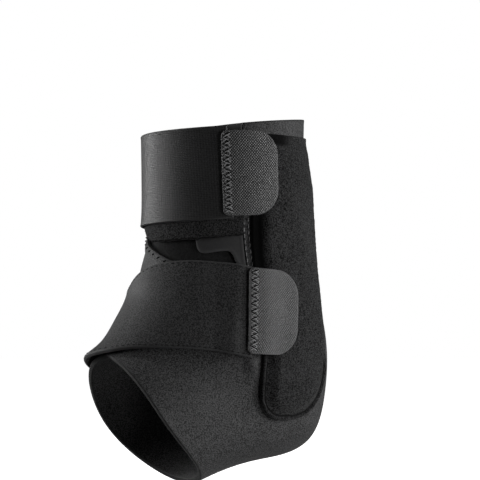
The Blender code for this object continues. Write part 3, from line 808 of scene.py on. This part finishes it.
def reach(line, side, height):
    """How far along the line, from its start, it crosses the front edge of a pad"""
    distances = np.linspace(0, 1.3 * LEG_DEPTH, 50)
    level, angle, _ = lay(*line[:3], -side * distances, height)
    turn = np.abs((angle + math.pi) % (2 * math.pi) - math.pi)
    return np.interp(0, np.interp(level, *PAD_FRONT[side]) - turn, distances)


def strip_places(line, along, widths, cell, height, arch=None):
    """A grid on a strap's centre line: levels, angles, distances along and across; an arch shifts it up"""
    half = np.max(widths)
    shares = fine_ends(2 * half, cell, SOFT_EDGE_ROUND) / half - 1
    centre = lay_both_ways(*line, along, height)
    if arch is not None:
        level, angle, heading = centre
        down, turn = slopes(skin, level, angle)
        side = np.cross(unit(np.cross(down, turn)), heading)
        centre = [row[0] for row in lay(level, angle, side, [arch], height)[:2]] + [heading]
    level, angle = ribbon(centre, widths, widths, shares, height)
    across = shares * widths[:, None]
    return level, angle, along[:, None] + np.zeros_like(level), across


def make_top_strap():
    """The ribbed elastic strap round the top"""
    start = SEWN_CLEARANCE - reach(TOP_LINE, INNER, TOP_STRAP_BASE)
    end = TOP_STRAP_END + TOP_STRAP_UNDER_TAB
    along = start + fine_ends(end - start, 0.00036, SOFT_EDGE_ROUND)
    widths = np.full(len(along), TOP_STRAP_WIDTH / 2)
    level, angle, along, across = strip_places(TOP_LINE, along, widths, 0.0009, TOP_STRAP_BASE)
    sewn = 1 - smooth_step((along - start) / SEWN_FALL)
    base = TOP_STRAP_BASE + (PAD_BASE - TOP_STRAP_BASE) * sewn
    inside = np.minimum(TOP_STRAP_WIDTH / 2 - np.abs(across), np.minimum(along - start, end - along))
    ribs = RIB_DEPTH * np.cos(2 * math.pi * along / RIB_PITCH) * rounded(inside, 0.001)
    cut = 0.0005 * (1 - rounded(inside, 0.0007))
    selvedge = 0.00012 * np.exp(-((inside - 0.0008) / 0.0005)**2)
    marks = {"rim": np.exp(-(inside / 0.0008)**2)}
    top = base + TOP_STRAP_THICKNESS - cut + ribs + selvedge
    return cloth("elastic_strap", level, angle, base + cut, top, np.stack([along, across], -1), marks)


def make_lower_strap():
    """The strap of cloth-faced foam over the instep; its outer end rides up on the pad"""
    start = -LOWER_STRAP_REACH
    along = start + fine_ends(LOWER_STRAP_END - start, 0.0008, SOFT_EDGE_ROUND)
    widths = np.full(len(along), LOWER_STRAP_WIDTH / 2)
    share = np.clip(along / LOWER_STRAP_END, 0, 1)
    arch = LOWER_STRAP_ARCH * 4 * share * (1 - share)
    level, angle, along, across = strip_places(LOWER_LINE, along, widths, 0.0008, LOWER_STRAP_BASE, arch)
    sewn = 1 - smooth_step((along - start) / SEWN_FALL)
    climb = smooth_step((along - LOWER_STRAP_END + CLIMB_START) / CLIMB_LENGTH)
    base = LOWER_STRAP_BASE + (PAD_BASE - LOWER_STRAP_BASE) * sewn + (ON_PAD - LOWER_STRAP_BASE) * climb
    inside = np.minimum(LOWER_STRAP_WIDTH / 2 - np.abs(across), np.minimum(along - start, LOWER_STRAP_END - along))
    cut = 0.0011 * (1 - rounded(inside, 0.0014))
    groove = 0.0002 * np.exp(-((inside - EDGE_STITCH_INSET) / 0.0005)**2)
    places = np.stack([along, across], -1)
    soft = 0.00025 * (noise(places, 0.016, 12) - 1) * rounded(inside, 0.004)
    marks = {"rim": np.exp(-(inside / 0.0009)**2)}
    top = base + LOWER_STRAP_THICKNESS - cut - groove + soft
    return cloth("foam_strap", level, angle, base + cut, top, places, marks)


def tab_line(strap, strap_end, turn, height, drop=0.0):
    """The centre line of a tab that is sewn on a strap's end, turned a little from it and set a little lower"""
    end = [place[0] for place in lay(*strap[:3], [strap_end], height)]
    down, across = slopes(skin, end[0], end[1])
    lower = np.cross(end[2], unit(np.cross(down, across)))
    end = [place[0] for place in lay(end[0], end[1], lower, [drop], height)[:2]] + [end[2]]
    return (*turned(*end, math.radians(turn)), 0.0, 0.0)


def make_tab(name, line, height, length, width, over_strap, seed):
    """A woven hook tab sewn on a strap's end and pressed on the pad"""
    along = fine_ends(length, 0.0004, SOFT_EDGE_ROUND)
    widths = half_width_at(along, length, width / 2, TAB_CORNER, TAB_ROUND)
    down = length * (1 - np.cos(np.linspace(0, math.pi, 90))) / 2
    half = half_width_at(down, length, width / 2, TAB_CORNER, TAB_ROUND)
    outline = np.concatenate([np.stack([down, -half], -1), np.stack([down, half], -1)[::-1]])
    level, angle, placed, across = strip_places(line, along - TAB_LAP, widths, 0.0005, height)
    inside = inside_places(outline, np.stack([placed + TAB_LAP, across], -1))
    fall = smooth_step((placed - TAB_FALL_START) / TAB_FALL)
    base = over_strap + (TAB_REST - over_strap) * fall
    cut = 0.0006 * (1 - rounded(inside, SOFT_EDGE_ROUND))
    places = np.stack([placed, across], -1)
    weave = 0.00003 * noise(places, 0.0007, seed)
    marks = {"rim": np.exp(-(inside / 0.0007)**2)}
    return cloth(name, level, angle, base + cut, base + TAB_THICKNESS - cut + weave, places, marks)


TOP_LINE = strap_line(TOP_STRAP_INSET + TOP_STRAP_WIDTH / 2, TOP_STRAP_TILT, TOP_STRAP_BASE)
TOP_STRAP_END = reach(TOP_LINE, OUTER, TOP_STRAP_BASE) - TOP_STRAP_CLEARANCE
LOWER_LINE = strap_line(
    LOWER_STRAP_DROP, LOWER_STRAP_TILT, LOWER_STRAP_BASE, LOWER_STRAP_BEND, LOWER_STRAP_BEND_LENGTH)
LOWER_STRAP_END = reach(LOWER_LINE, OUTER, LOWER_STRAP_BASE) - LOWER_STRAP_CLEARANCE
TOP_TAB_LINE = tab_line(TOP_LINE, TOP_STRAP_END, TOP_TAB_TURN, TOP_STRAP_BASE, TOP_TAB_DROP)
LOWER_TAB_LINE = tab_line(LOWER_LINE, LOWER_STRAP_END, LOWER_TAB_TURN, LOWER_STRAP_BASE)
OVER_LOWER_STRAP = ON_PAD + LOWER_STRAP_THICKNESS + GAP


# Threads
THREAD_RADIUS = 0.00020
THREAD_POINTS = 7
ZIGZAG_PITCH = 0.0038
ZIGZAG_WIDTH = 0.0040
ZIGZAG_INSET = 0.0006
SHADE_SET = 0.0006
SEAM_STITCH = 0.0026
SEAM_ROWS = (0.0006, 0.0028)
EDGE_STITCH = 0.0027
LOWER_STRAP_ARCH = 0.0024
EDGE_STITCH_INSET = 0.0013
OVERLOCK_PITCH = 0.0021
OVERLOCK_DEPTH = 0.0016


def on_cloth(name, down, across):
    """Points on a sheet at distances down and across it, and which way is out there"""
    places, over, out = CHARTS[name]
    rows, columns = over.shape[:2]
    points, outs = [], []
    for d, a in zip(np.ravel(down), np.ravel(across)):
        i = np.interp(d, places[:, columns // 2, 0], np.arange(rows))
        j = np.interp(a, places[int(round(i)), :, 1], np.arange(columns))
        i0, j0 = min(int(i), rows - 2), min(int(j), columns - 2)
        u, v = i - i0, j - j0
        weights = ((1 - u) * (1 - v), u * (1 - v), (1 - u) * v, u * v)
        corners = ((i0, j0), (i0 + 1, j0), (i0, j0 + 1), (i0 + 1, j0 + 1))
        points.append(sum(w * over[k] for w, k in zip(weights, corners)))
        outs.append(out[i0, j0])
    shape = np.shape(down) + (3,)
    return np.reshape(points, shape), np.reshape(outs, shape)


def arched(points, out):
    """Paths of stitches that lie on a sheet and dip into it at both ends"""
    share = np.linspace(0, 1, points.shape[1])
    height = THREAD_RADIUS * (1.9 * np.sin(math.pi * share) - 0.9)
    return points + out * height[:, None]


def between(starts, ends):
    """Even places along each line from a start to an end"""
    share = np.linspace(0, 1, THREAD_POINTS)[:, None]
    return starts[:, None] + (ends - starts)[:, None] * share


def stitches_on(name, starts, ends):
    """Paths of stitches on a sheet, from places to places on its cloth"""
    line = between(np.asarray(starts), np.asarray(ends))
    return arched(*on_cloth(name, line[..., 0], line[..., 1]))


def tubes(name, paths, radius, sides=6):
    """Closed round threads along rows of points, thin at both ends"""
    count, length = paths.shape[:2]
    heading = unit(np.gradient(paths, axis=1))
    across = unit(np.cross(heading, np.array([0.31, 0.17, 0.93])))
    other = np.cross(heading, across)
    turn = np.arange(sides) * 2 * math.pi / sides
    size = np.full(length, radius)
    size[[0, -1]] = radius * 0.4
    ring = across[:, :, None] * np.cos(turn)[:, None] + other[:, :, None] * np.sin(turn)[:, None]
    points = (paths[:, :, None] + ring * size[:, None, None]).reshape(-1, 3)
    first = np.array([[0, 1, 2, 3], [0, 3, 4, 5]])
    last = (length - 1) * sides + first
    one = np.concatenate([grid_quads(length, sides, ring=True), first, last[:, ::-1]])
    faces = (np.arange(count)[:, None, None] * length * sides + one).reshape(-1, 4)
    return mesh_piece(name, points, facing_out(points, faces), points[:, [0, 2]])


def zigzag_on(name, width):
    """A row of crossed stitches along a tab's sewn end"""
    count = round((width - 2 * TAB_CORNER) / ZIGZAG_PITCH)
    edges = np.linspace(-1, 1, 2 * count + 1) * (width / 2 - TAB_CORNER * 0.5)
    near = -TAB_LAP + ZIGZAG_INSET
    far = near + ZIGZAG_WIDTH
    ends = np.where(np.arange(len(edges)) % 2, near, far)
    one = np.stack([ends, edges], -1)
    other = np.stack([near + far - ends, edges], -1)
    starts = np.concatenate([one[:-1], other[:-1]])
    return stitches_on(name, starts, np.concatenate([one[1:], other[1:]]))


def shade_on(name, width):
    """The dark row beside the crossed stitches: black threads as painted shadow where the stitches draw a tab in"""
    count = round((width - 2 * TAB_CORNER) / ZIGZAG_PITCH)
    edges = np.linspace(-1, 1, 2 * count + 1) * (width / 2 - TAB_CORNER * 0.5) + SHADE_SET
    near = -TAB_LAP + ZIGZAG_INSET
    ends = np.stack([np.where(np.arange(len(edges)) % 2, near, near + ZIGZAG_WIDTH), edges], -1)
    return stitches_on(name, ends[:-1], ends[1:])


def make_threads():
    """All the threads that show: crossed rows on both tabs, seam rows, overlocked edge and strap edges; beside the
    crossed rows, a row of black threads as painted shadow
    """
    shades = np.concatenate([shade_on("top_tab", TOP_TAB_WIDTH), shade_on("lower_tab", LOWER_TAB_WIDTH)])
    zigzags = np.concatenate([zigzag_on("top_tab", TOP_TAB_WIDTH), zigzag_on("lower_tab", LOWER_TAB_WIDTH)])
    return [tubes("tab_stitches", zigzags, THREAD_RADIUS), tubes("seam_stitches", seam_paths(), THREAD_RADIUS * 1.1),
            tubes("painted_stitch_shadow", shades, THREAD_RADIUS * 1.5),
            tubes("overlock_stitches", overlock_paths(), THREAD_RADIUS * 1.4),
            tubes("strap_stitches", strap_edge_paths(), THREAD_RADIUS * 0.8)]


def on_boot(level, angle, height):
    """Points on the boot, with which way is out there"""
    level, angle = np.broadcast_arrays(level, np.radians(angle))
    base = lift(level, angle, height + np.zeros_like(level))
    return base, unit(base - skin(level, angle))


def seam_paths():
    """Two rows of stitches on the boot beside the flap"""
    count = int(0.95 * FLAP_LENGTH / SEAM_STITCH)
    rows = []
    for k, away in enumerate(SEAM_ROWS):
        start = (np.arange(count) + 0.5 * k + 0.3) / count * SLIT_LEVEL
        angle = slit_outer_angle(start) + math.degrees(2 * away / LEG_DEPTH)
        line = between(np.stack([start, angle], -1), np.stack([start + 0.62 / count * SLIT_LEVEL, angle], -1))
        rows.append(arched(*on_boot(line[..., 0], line[..., 1], WALL)))
    return np.concatenate(rows)


def overlock_paths():
    """Slanted stitches over the slit's inner front edge, where it slants"""
    level = np.linspace(0.5, 1.0, round(0.04 / OVERLOCK_PITCH)) * SLIT_LEVEL
    start = np.stack([level, slit_edge_angle(level) - math.degrees(2 * SLIT_BAND / LEG_DEPTH)], -1)
    slant = 0.4 * OVERLOCK_PITCH / FLAP_LENGTH * SLIT_LEVEL
    end = start + np.stack([slant + 0 * level, 0 * level - math.degrees(2 * OVERLOCK_DEPTH / LEG_DEPTH)], -1)
    line = between(start, end)
    return arched(*on_boot(line[..., 0], line[..., 1], LAP_TOP))


def strap_edge_paths():
    """Small stitches along both long edges of the lower strap"""
    first, last = -LOWER_STRAP_REACH + 0.003, LOWER_STRAP_END - 0.003
    start = np.arange(first, last, EDGE_STITCH)
    rows = []
    for side in (-1, 1):
        edge = side * (LOWER_STRAP_WIDTH / 2 - EDGE_STITCH_INSET)
        places = np.stack([start, np.full(len(start), edge)], -1)
        rows.append(stitches_on("foam_strap", places, places + np.array([0.6 * EDGE_STITCH, 0.0])))
    return np.concatenate(rows)


# Materials
def node(tree, kind, **settings):
    made = tree.nodes.new(kind)
    for key, value in settings.items():
        setattr(made, key, value)
    return made


def value_of(tree, kind, *inputs):
    """The output of a maths node; an input is a number or a socket"""
    made = node(tree, "ShaderNodeMath", operation=kind)
    for i, value in enumerate(inputs):
        if isinstance(value, (int, float)):
            made.inputs[i].default_value = value
        else:
            tree.links.new(value, made.inputs[i])
    return made.outputs[0]


def lumps(tree, place, size, detail=2.0, roughness=0.6):
    """Noise of a size over places, about 0 to 1"""
    made = node(tree, "ShaderNodeTexNoise", noise_dimensions="3D")
    tree.links.new(place, made.inputs["Vector"])
    made.inputs["Scale"].default_value = 1 / size
    made.inputs["Detail"].default_value = detail
    made.inputs["Roughness"].default_value = roughness
    return made.outputs["Fac"]


def cells(tree, place, size):
    """Distance from the nearest of scattered points, about 0 to 1"""
    made = node(tree, "ShaderNodeTexVoronoi", feature="F1")
    tree.links.new(place, made.inputs["Vector"])
    made.inputs["Scale"].default_value = 1 / size
    return made.outputs["Distance"]


def bands(tree, place, pitch, axis, turn=0.0):
    """A wave of 0 to 1 across the cloth's places, turned by an angle"""
    mapped = node(tree, "ShaderNodeMapping")
    tree.links.new(place, mapped.inputs["Vector"])
    mapped.inputs["Rotation"].default_value = (0.0, 0.0, math.radians(turn))
    made = node(tree, "ShaderNodeTexWave", wave_type="BANDS", bands_direction=axis)
    tree.links.new(mapped.outputs["Vector"], made.inputs["Vector"])
    made.inputs["Scale"].default_value = 2 * math.pi / pitch / 20
    made.inputs["Distortion"].default_value = 0.0
    return made.outputs["Fac"]


def mixed(tree, share, first, second):
    """One colour or the other by a share"""
    made = node(tree, "ShaderNodeMix", data_type="RGBA")
    tree.links.new(share, made.inputs["Factor"])
    for socket, value in ((made.inputs["A"], first), (made.inputs["B"], second)):
        if isinstance(value, tuple):
            socket.default_value = (*value, 1.0)
        else:
            tree.links.new(value, socket)
    return made.outputs["Result"]


def spread(tree, value, low, high):
    """A value's share of the way from low to high, held to 0 and 1"""
    made = node(tree, "ShaderNodeMapRange", clamp=True)
    tree.links.new(value, made.inputs["Value"])
    made.inputs["From Min"].default_value = low
    made.inputs["From Max"].default_value = high
    return made.outputs["Result"]


Cloth = namedtuple("Cloth", "dark light speck contrast rough gloss sheen bump depth rim")


def fabric(name, cloth_look, relief=None, mark="rim", pale=None, weave=0.0):
    """A dark cloth: specks of a size between two tones, a rim tone where a mark says (paler on most cloths, painted
    shade on the pads and along the boot's edges), fuzz and a fine relief
    """
    look = bpy.data.materials.new(name)
    look.use_nodes = True
    tree = look.node_tree
    shader = tree.nodes["Principled BSDF"]
    where = node(tree, "ShaderNodeTexCoord")
    place, flat = where.outputs["Object"], where.outputs["UV"]
    speck = spread(tree, lumps(tree, place, cloth_look.speck, 3.0), 0.5 - cloth_look.contrast, 0.5 + cloth_look.contrast)
    broad = lumps(tree, place, 0.02)
    tone = value_of(tree, "MULTIPLY_ADD", broad, 0.5, -0.25)
    share = value_of(tree, "ADD", speck, tone)
    colour = mixed(tree, share, cloth_look.dark, cloth_look.light)
    if weave:
        woven = value_of(tree, "SUBTRACT", relief(tree, flat), 1.0)
        share = value_of(tree, "MULTIPLY_ADD", woven, weave, share)
        colour = mixed(tree, share, cloth_look.dark, cloth_look.light)
    if pale:
        band = node(tree, "ShaderNodeAttribute", attribute_name="band")
        colour = mixed(tree, band.outputs["Fac"], colour, pale)
    marked = node(tree, "ShaderNodeAttribute", attribute_name=mark)
    colour = mixed(tree, marked.outputs["Fac"], colour, cloth_look.rim)
    tree.links.new(colour, shader.inputs["Base Color"])
    shader.inputs["Roughness"].default_value = cloth_look.rough
    shader.inputs["Specular IOR Level"].default_value = cloth_look.gloss
    shader.inputs["Sheen Weight"].default_value = cloth_look.sheen
    shader.inputs["Sheen Roughness"].default_value = 0.5
    height = lumps(tree, place, cloth_look.bump, 3.0)
    if relief:
        height = value_of(tree, "ADD", height, relief(tree, flat))
    bump = node(tree, "ShaderNodeBump")
    bump.inputs["Strength"].default_value = 1.0
    bump.inputs["Distance"].default_value = cloth_look.depth
    tree.links.new(height, bump.inputs["Height"])
    tree.links.new(bump.outputs["Normal"], shader.inputs["Normal"])
    return look


def ribbed(tree, flat):
    """Ribs across the elastic, each a row of small bars"""
    return value_of(tree, "ADD", bands(tree, flat, RIB_PITCH, "X"), bands(tree, flat, 0.0009, "Y"))


def twill(tree, flat):
    """Fine slanted lines of a woven tape"""
    return value_of(tree, "ADD", bands(tree, flat, 0.0010, "X", 40.0), bands(tree, flat, 0.0010, "X", -40.0))


def grey(value):
    return (value, value, value * 1.02)


# KNIT's rim tone is painted shade, laid on by the cut mark along the boot's cuff and foot edges.
KNIT = Cloth(grey(0.003), grey(0.068), 0.0006, 0.07, 0.7, 0.25, 0.06, 0.0007, 0.00012, grey(0.006))
TONGUE_CLOTH = Cloth(grey(0.008), grey(0.022), 0.0009, 0.2, 0.9, 0.1, 0.03, 0.0007, 0.00008, grey(0.02))
FLAP_CLOTH = Cloth(grey(0.034), grey(0.043), 0.0012, 0.25, 0.8, 0.15, 0.03, 0.0006, 0.00004, grey(0.07))
# PILE's rim tone is painted shade on the pads' front flank and groove; on the front band it makes the edges darker.
PILE = Cloth(grey(0.001), grey(0.048), 0.0006, 0.09, 1.0, 0.05, 0.08, 0.0006, 0.0003, grey(0.002))
ELASTIC = Cloth(grey(0.009), grey(0.034), 0.0006, 0.2, 0.5, 0.25, 0.05, 0.0005, 0.00005, grey(0.03))
FOAM_CLOTH = Cloth(grey(0.005), grey(0.054), 0.0006, 0.07, 0.65, 0.25, 0.05, 0.0007, 0.00006, grey(0.04))
TAPE = Cloth(grey(0.003), grey(0.052), 0.0006, 0.2, 0.45, 0.5, 0.10, 0.0005, 0.00012, grey(0.07))
# The lower tab's hook tape: the same tape as TAPE, painted lighter as painted light on the lower tab.
PAINTED_LIT_TAPE = Cloth(grey(0.008), grey(0.086), 0.0006, 0.2, 0.5, 0.4, 0.06, 0.0005, 0.00012, grey(0.10))
THREAD = Cloth(grey(0.20), grey(0.42), 0.0004, 0.2, 0.6, 0.3, 0.1, 0.0003, 0.00004, grey(0.1))
# Black thread: the real black stitches, and the painted stitch shadow beside the crossed rows on the tabs.
BLACK_THREAD = Cloth(grey(0.002), grey(0.004), 0.0004, 0.2, 0.8, 0.1, 0.02, 0.0003, 0.00004, grey(0.01))


# The whole object
BOOT = make_boot()
TONGUE = make_tongue()
FLAP = make_flap()
BAND = make_front_band()
OUTER_PAD = make_panel("outer_panel", OUTER, 21)
INNER_PAD = make_panel("inner_panel", INNER, 31)
TOP_STRAP = make_top_strap()
LOWER_STRAP = make_lower_strap()
TOP_TAB = make_tab(
    "top_tab", TOP_TAB_LINE, TOP_STRAP_BASE, TOP_TAB_LENGTH, TOP_TAB_WIDTH, TAB_REST, 41)
LOWER_TAB = make_tab(
    "lower_tab", LOWER_TAB_LINE, LOWER_STRAP_BASE, LOWER_TAB_LENGTH, LOWER_TAB_WIDTH, OVER_LOWER_STRAP, 42)
THREADS = make_threads()

STANDS_FOR = (
    (BOOT, "boot_shell", "knit_neoprene", fabric("boot_knit", KNIT, mark="cut", pale=grey(0.018))),
    (TONGUE, "tongue", "smooth_neoprene", fabric("tongue_cloth", TONGUE_CLOTH)),
    (FLAP, "closure_flap", "flap_cloth", fabric("flap_cloth", FLAP_CLOTH)),
    (BAND, "front_loop_band", "loop_pile", fabric("band_pile", PILE)),
    (OUTER_PAD, "outer_pad", "loop_pile", fabric("outer_pile", PILE)),
    (INNER_PAD, "inner_pad", "loop_pile", fabric("inner_pile", PILE)),
    (TOP_STRAP, "top_strap", "ribbed_elastic", fabric("ribbed_elastic", ELASTIC, ribbed, weave=0.5)),
    (TOP_TAB, "top_hook_tab", "hook_tape", fabric("top_tape", TAPE, twill, weave=0.6)),
    (LOWER_STRAP, "lower_strap", "strap_neoprene", fabric("strap_cloth", FOAM_CLOTH)),
    (LOWER_TAB, "lower_hook_tab", "hook_tape", fabric("lower_tape_painted_lit", PAINTED_LIT_TAPE, twill, weave=0.5)),
)
THREAD_LOOKS = (fabric("pale_thread", THREAD), fabric("black_thread", BLACK_THREAD))

for piece, cad_node, slot, look in STANDS_FOR:
    piece.data.materials.append(look)
    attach(piece, "root")
    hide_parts(cad_node)

SHEETS = (
    (BOOT, 0.235, 0.190, "stretched", 0.0400),
    (TONGUE, 0.060, FLAP_LENGTH, "laid", None),
    (FLAP, FLAP_WIDTH, FLAP_LENGTH, "laid", None),
    (BAND, LEG_DEPTH, BAND_WIDTH, "stretched", None),
    (TOP_STRAP, TOP_STRAP_END + reach(TOP_LINE, INNER, TOP_STRAP_BASE), TOP_STRAP_WIDTH, "stretched", None),
    (LOWER_STRAP, LOWER_STRAP_END + LOWER_STRAP_REACH, LOWER_STRAP_WIDTH, "stretched", None),
    (TOP_TAB, TOP_TAB_LENGTH + TAB_LAP, TOP_TAB_WIDTH, "laid", None),
    (LOWER_TAB, LOWER_TAB_LENGTH + TAB_LAP, LOWER_TAB_WIDTH, "laid", None),
)

for piece in THREADS:
    pale = piece.name.startswith(("tab", "seam"))
    piece.data.materials.append(THREAD_LOOKS[0 if pale else 1])
    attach(piece, "root")

# Camera at the photograph's angle
AZIMUTH = math.radians(-28.0)
DISTANCE = 1.5
PIXEL = 0.00052
PICTURE = 480
SENSOR = 36.0


def add_camera():
    """The camera, level with the ankle and outside its outer front side"""
    data = bpy.data.cameras.new("view")
    data.sensor_width = SENSOR
    data.lens = SENSOR * DISTANCE / (PICTURE * PIXEL)
    data.shift_x = 0.025
    data.shift_y = 0.15
    camera = bpy.data.objects.new("view", data)
    camera.location = (DISTANCE * math.sin(AZIMUTH), -DISTANCE * math.cos(AZIMUTH), 0.0)
    camera.rotation_euler = (math.pi / 2, 0.0, AZIMUTH)
    bpy.context.scene.collection.objects.link(camera)
    bpy.context.scene.camera = camera


def add_light(name, azimuth, rise, distance, size, power):
    """A square soft light that faces the middle of the object; its azimuth counts from the camera's"""
    data = bpy.data.lights.new(name, "AREA")
    data.shape = "SQUARE"
    data.size = size
    data.energy = power
    light = bpy.data.objects.new(name, data)
    turn, up = AZIMUTH + math.radians(azimuth), math.radians(rise)
    light.location = (distance * math.sin(turn) * math.cos(up), -distance * math.cos(turn) * math.cos(up),
                      distance * math.sin(up))
    light.rotation_euler = (math.pi / 2 - up, 0.0, turn)
    bpy.context.scene.collection.objects.link(light)


def add_floor():
    """A plain pale floor just under the object, a disc of rings"""
    sides, radii = 64, (0.0, 0.3, 1.0, 4.0)
    turn = np.arange(sides) * 2 * math.pi / sides
    low = CAD_BOX[0][2] - 0.002
    points = [np.stack([max(r, 0.01) * np.cos(turn), max(r, 0.01) * np.sin(turn), np.full(sides, low)], -1)
              for r in radii]
    floor = mesh_piece("floor", np.concatenate(points), grid_quads(len(radii), sides, ring=True)[:, ::-1],
                       np.concatenate(points)[:, :2])
    look = bpy.data.materials.new("pale_floor")
    look.use_nodes = True
    shader = look.node_tree.nodes["Principled BSDF"]
    shader.inputs["Base Color"].default_value = (0.9, 0.9, 0.9, 1.0)
    shader.inputs["Roughness"].default_value = 0.9
    shader.inputs["Emission Color"].default_value = (1.0, 1.0, 1.0, 1.0)
    shader.inputs["Emission Strength"].default_value = 1.0
    floor.data.materials.append(look)
    floor.visible_diffuse = False
    floor.visible_glossy = False
    floor.visible_shadow = False


def set_world(strength):
    """A white surround that lights the object only softly"""
    world = bpy.data.worlds.new("surround")
    bpy.context.scene.world = world
    world.use_nodes = True
    tree = world.node_tree
    light = tree.nodes["Background"]
    light.inputs["Color"].default_value = (1.0, 1.0, 1.0, 1.0)
    seen = node(tree, "ShaderNodeLightPath").outputs["Is Camera Ray"]
    tree.links.new(value_of(tree, "MULTIPLY_ADD", seen, 1.0 - strength, strength), light.inputs["Strength"])


bpy.context.scene.view_settings.view_transform = "Standard"
add_camera()
set_world(0.02)
add_floor()
add_light("left_back", -120.0, 8.0, 1.3, 0.35, 6.5)
add_light("left", -95.0, 8.0, 1.3, 0.35, 3.6)
add_light("left_front", -78.0, 8.0, 1.3, 0.35, 5.0)
add_light("left_high", -95.0, 50.0, 1.3, 0.35, 4.2)
add_light("front", -20.0, 8.0, 1.3, 0.35, 0.4)
add_light("right_front", 48.0, -4.0, 1.3, 0.35, 4.6)
add_light("right", 80.0, 8.0, 1.3, 0.35, 8.0)
add_light("right_back", 105.0, 8.0, 1.3, 0.35, 5.2)
add_light("low", 60.0, -70.0, 1.3, 0.5, 3.0)
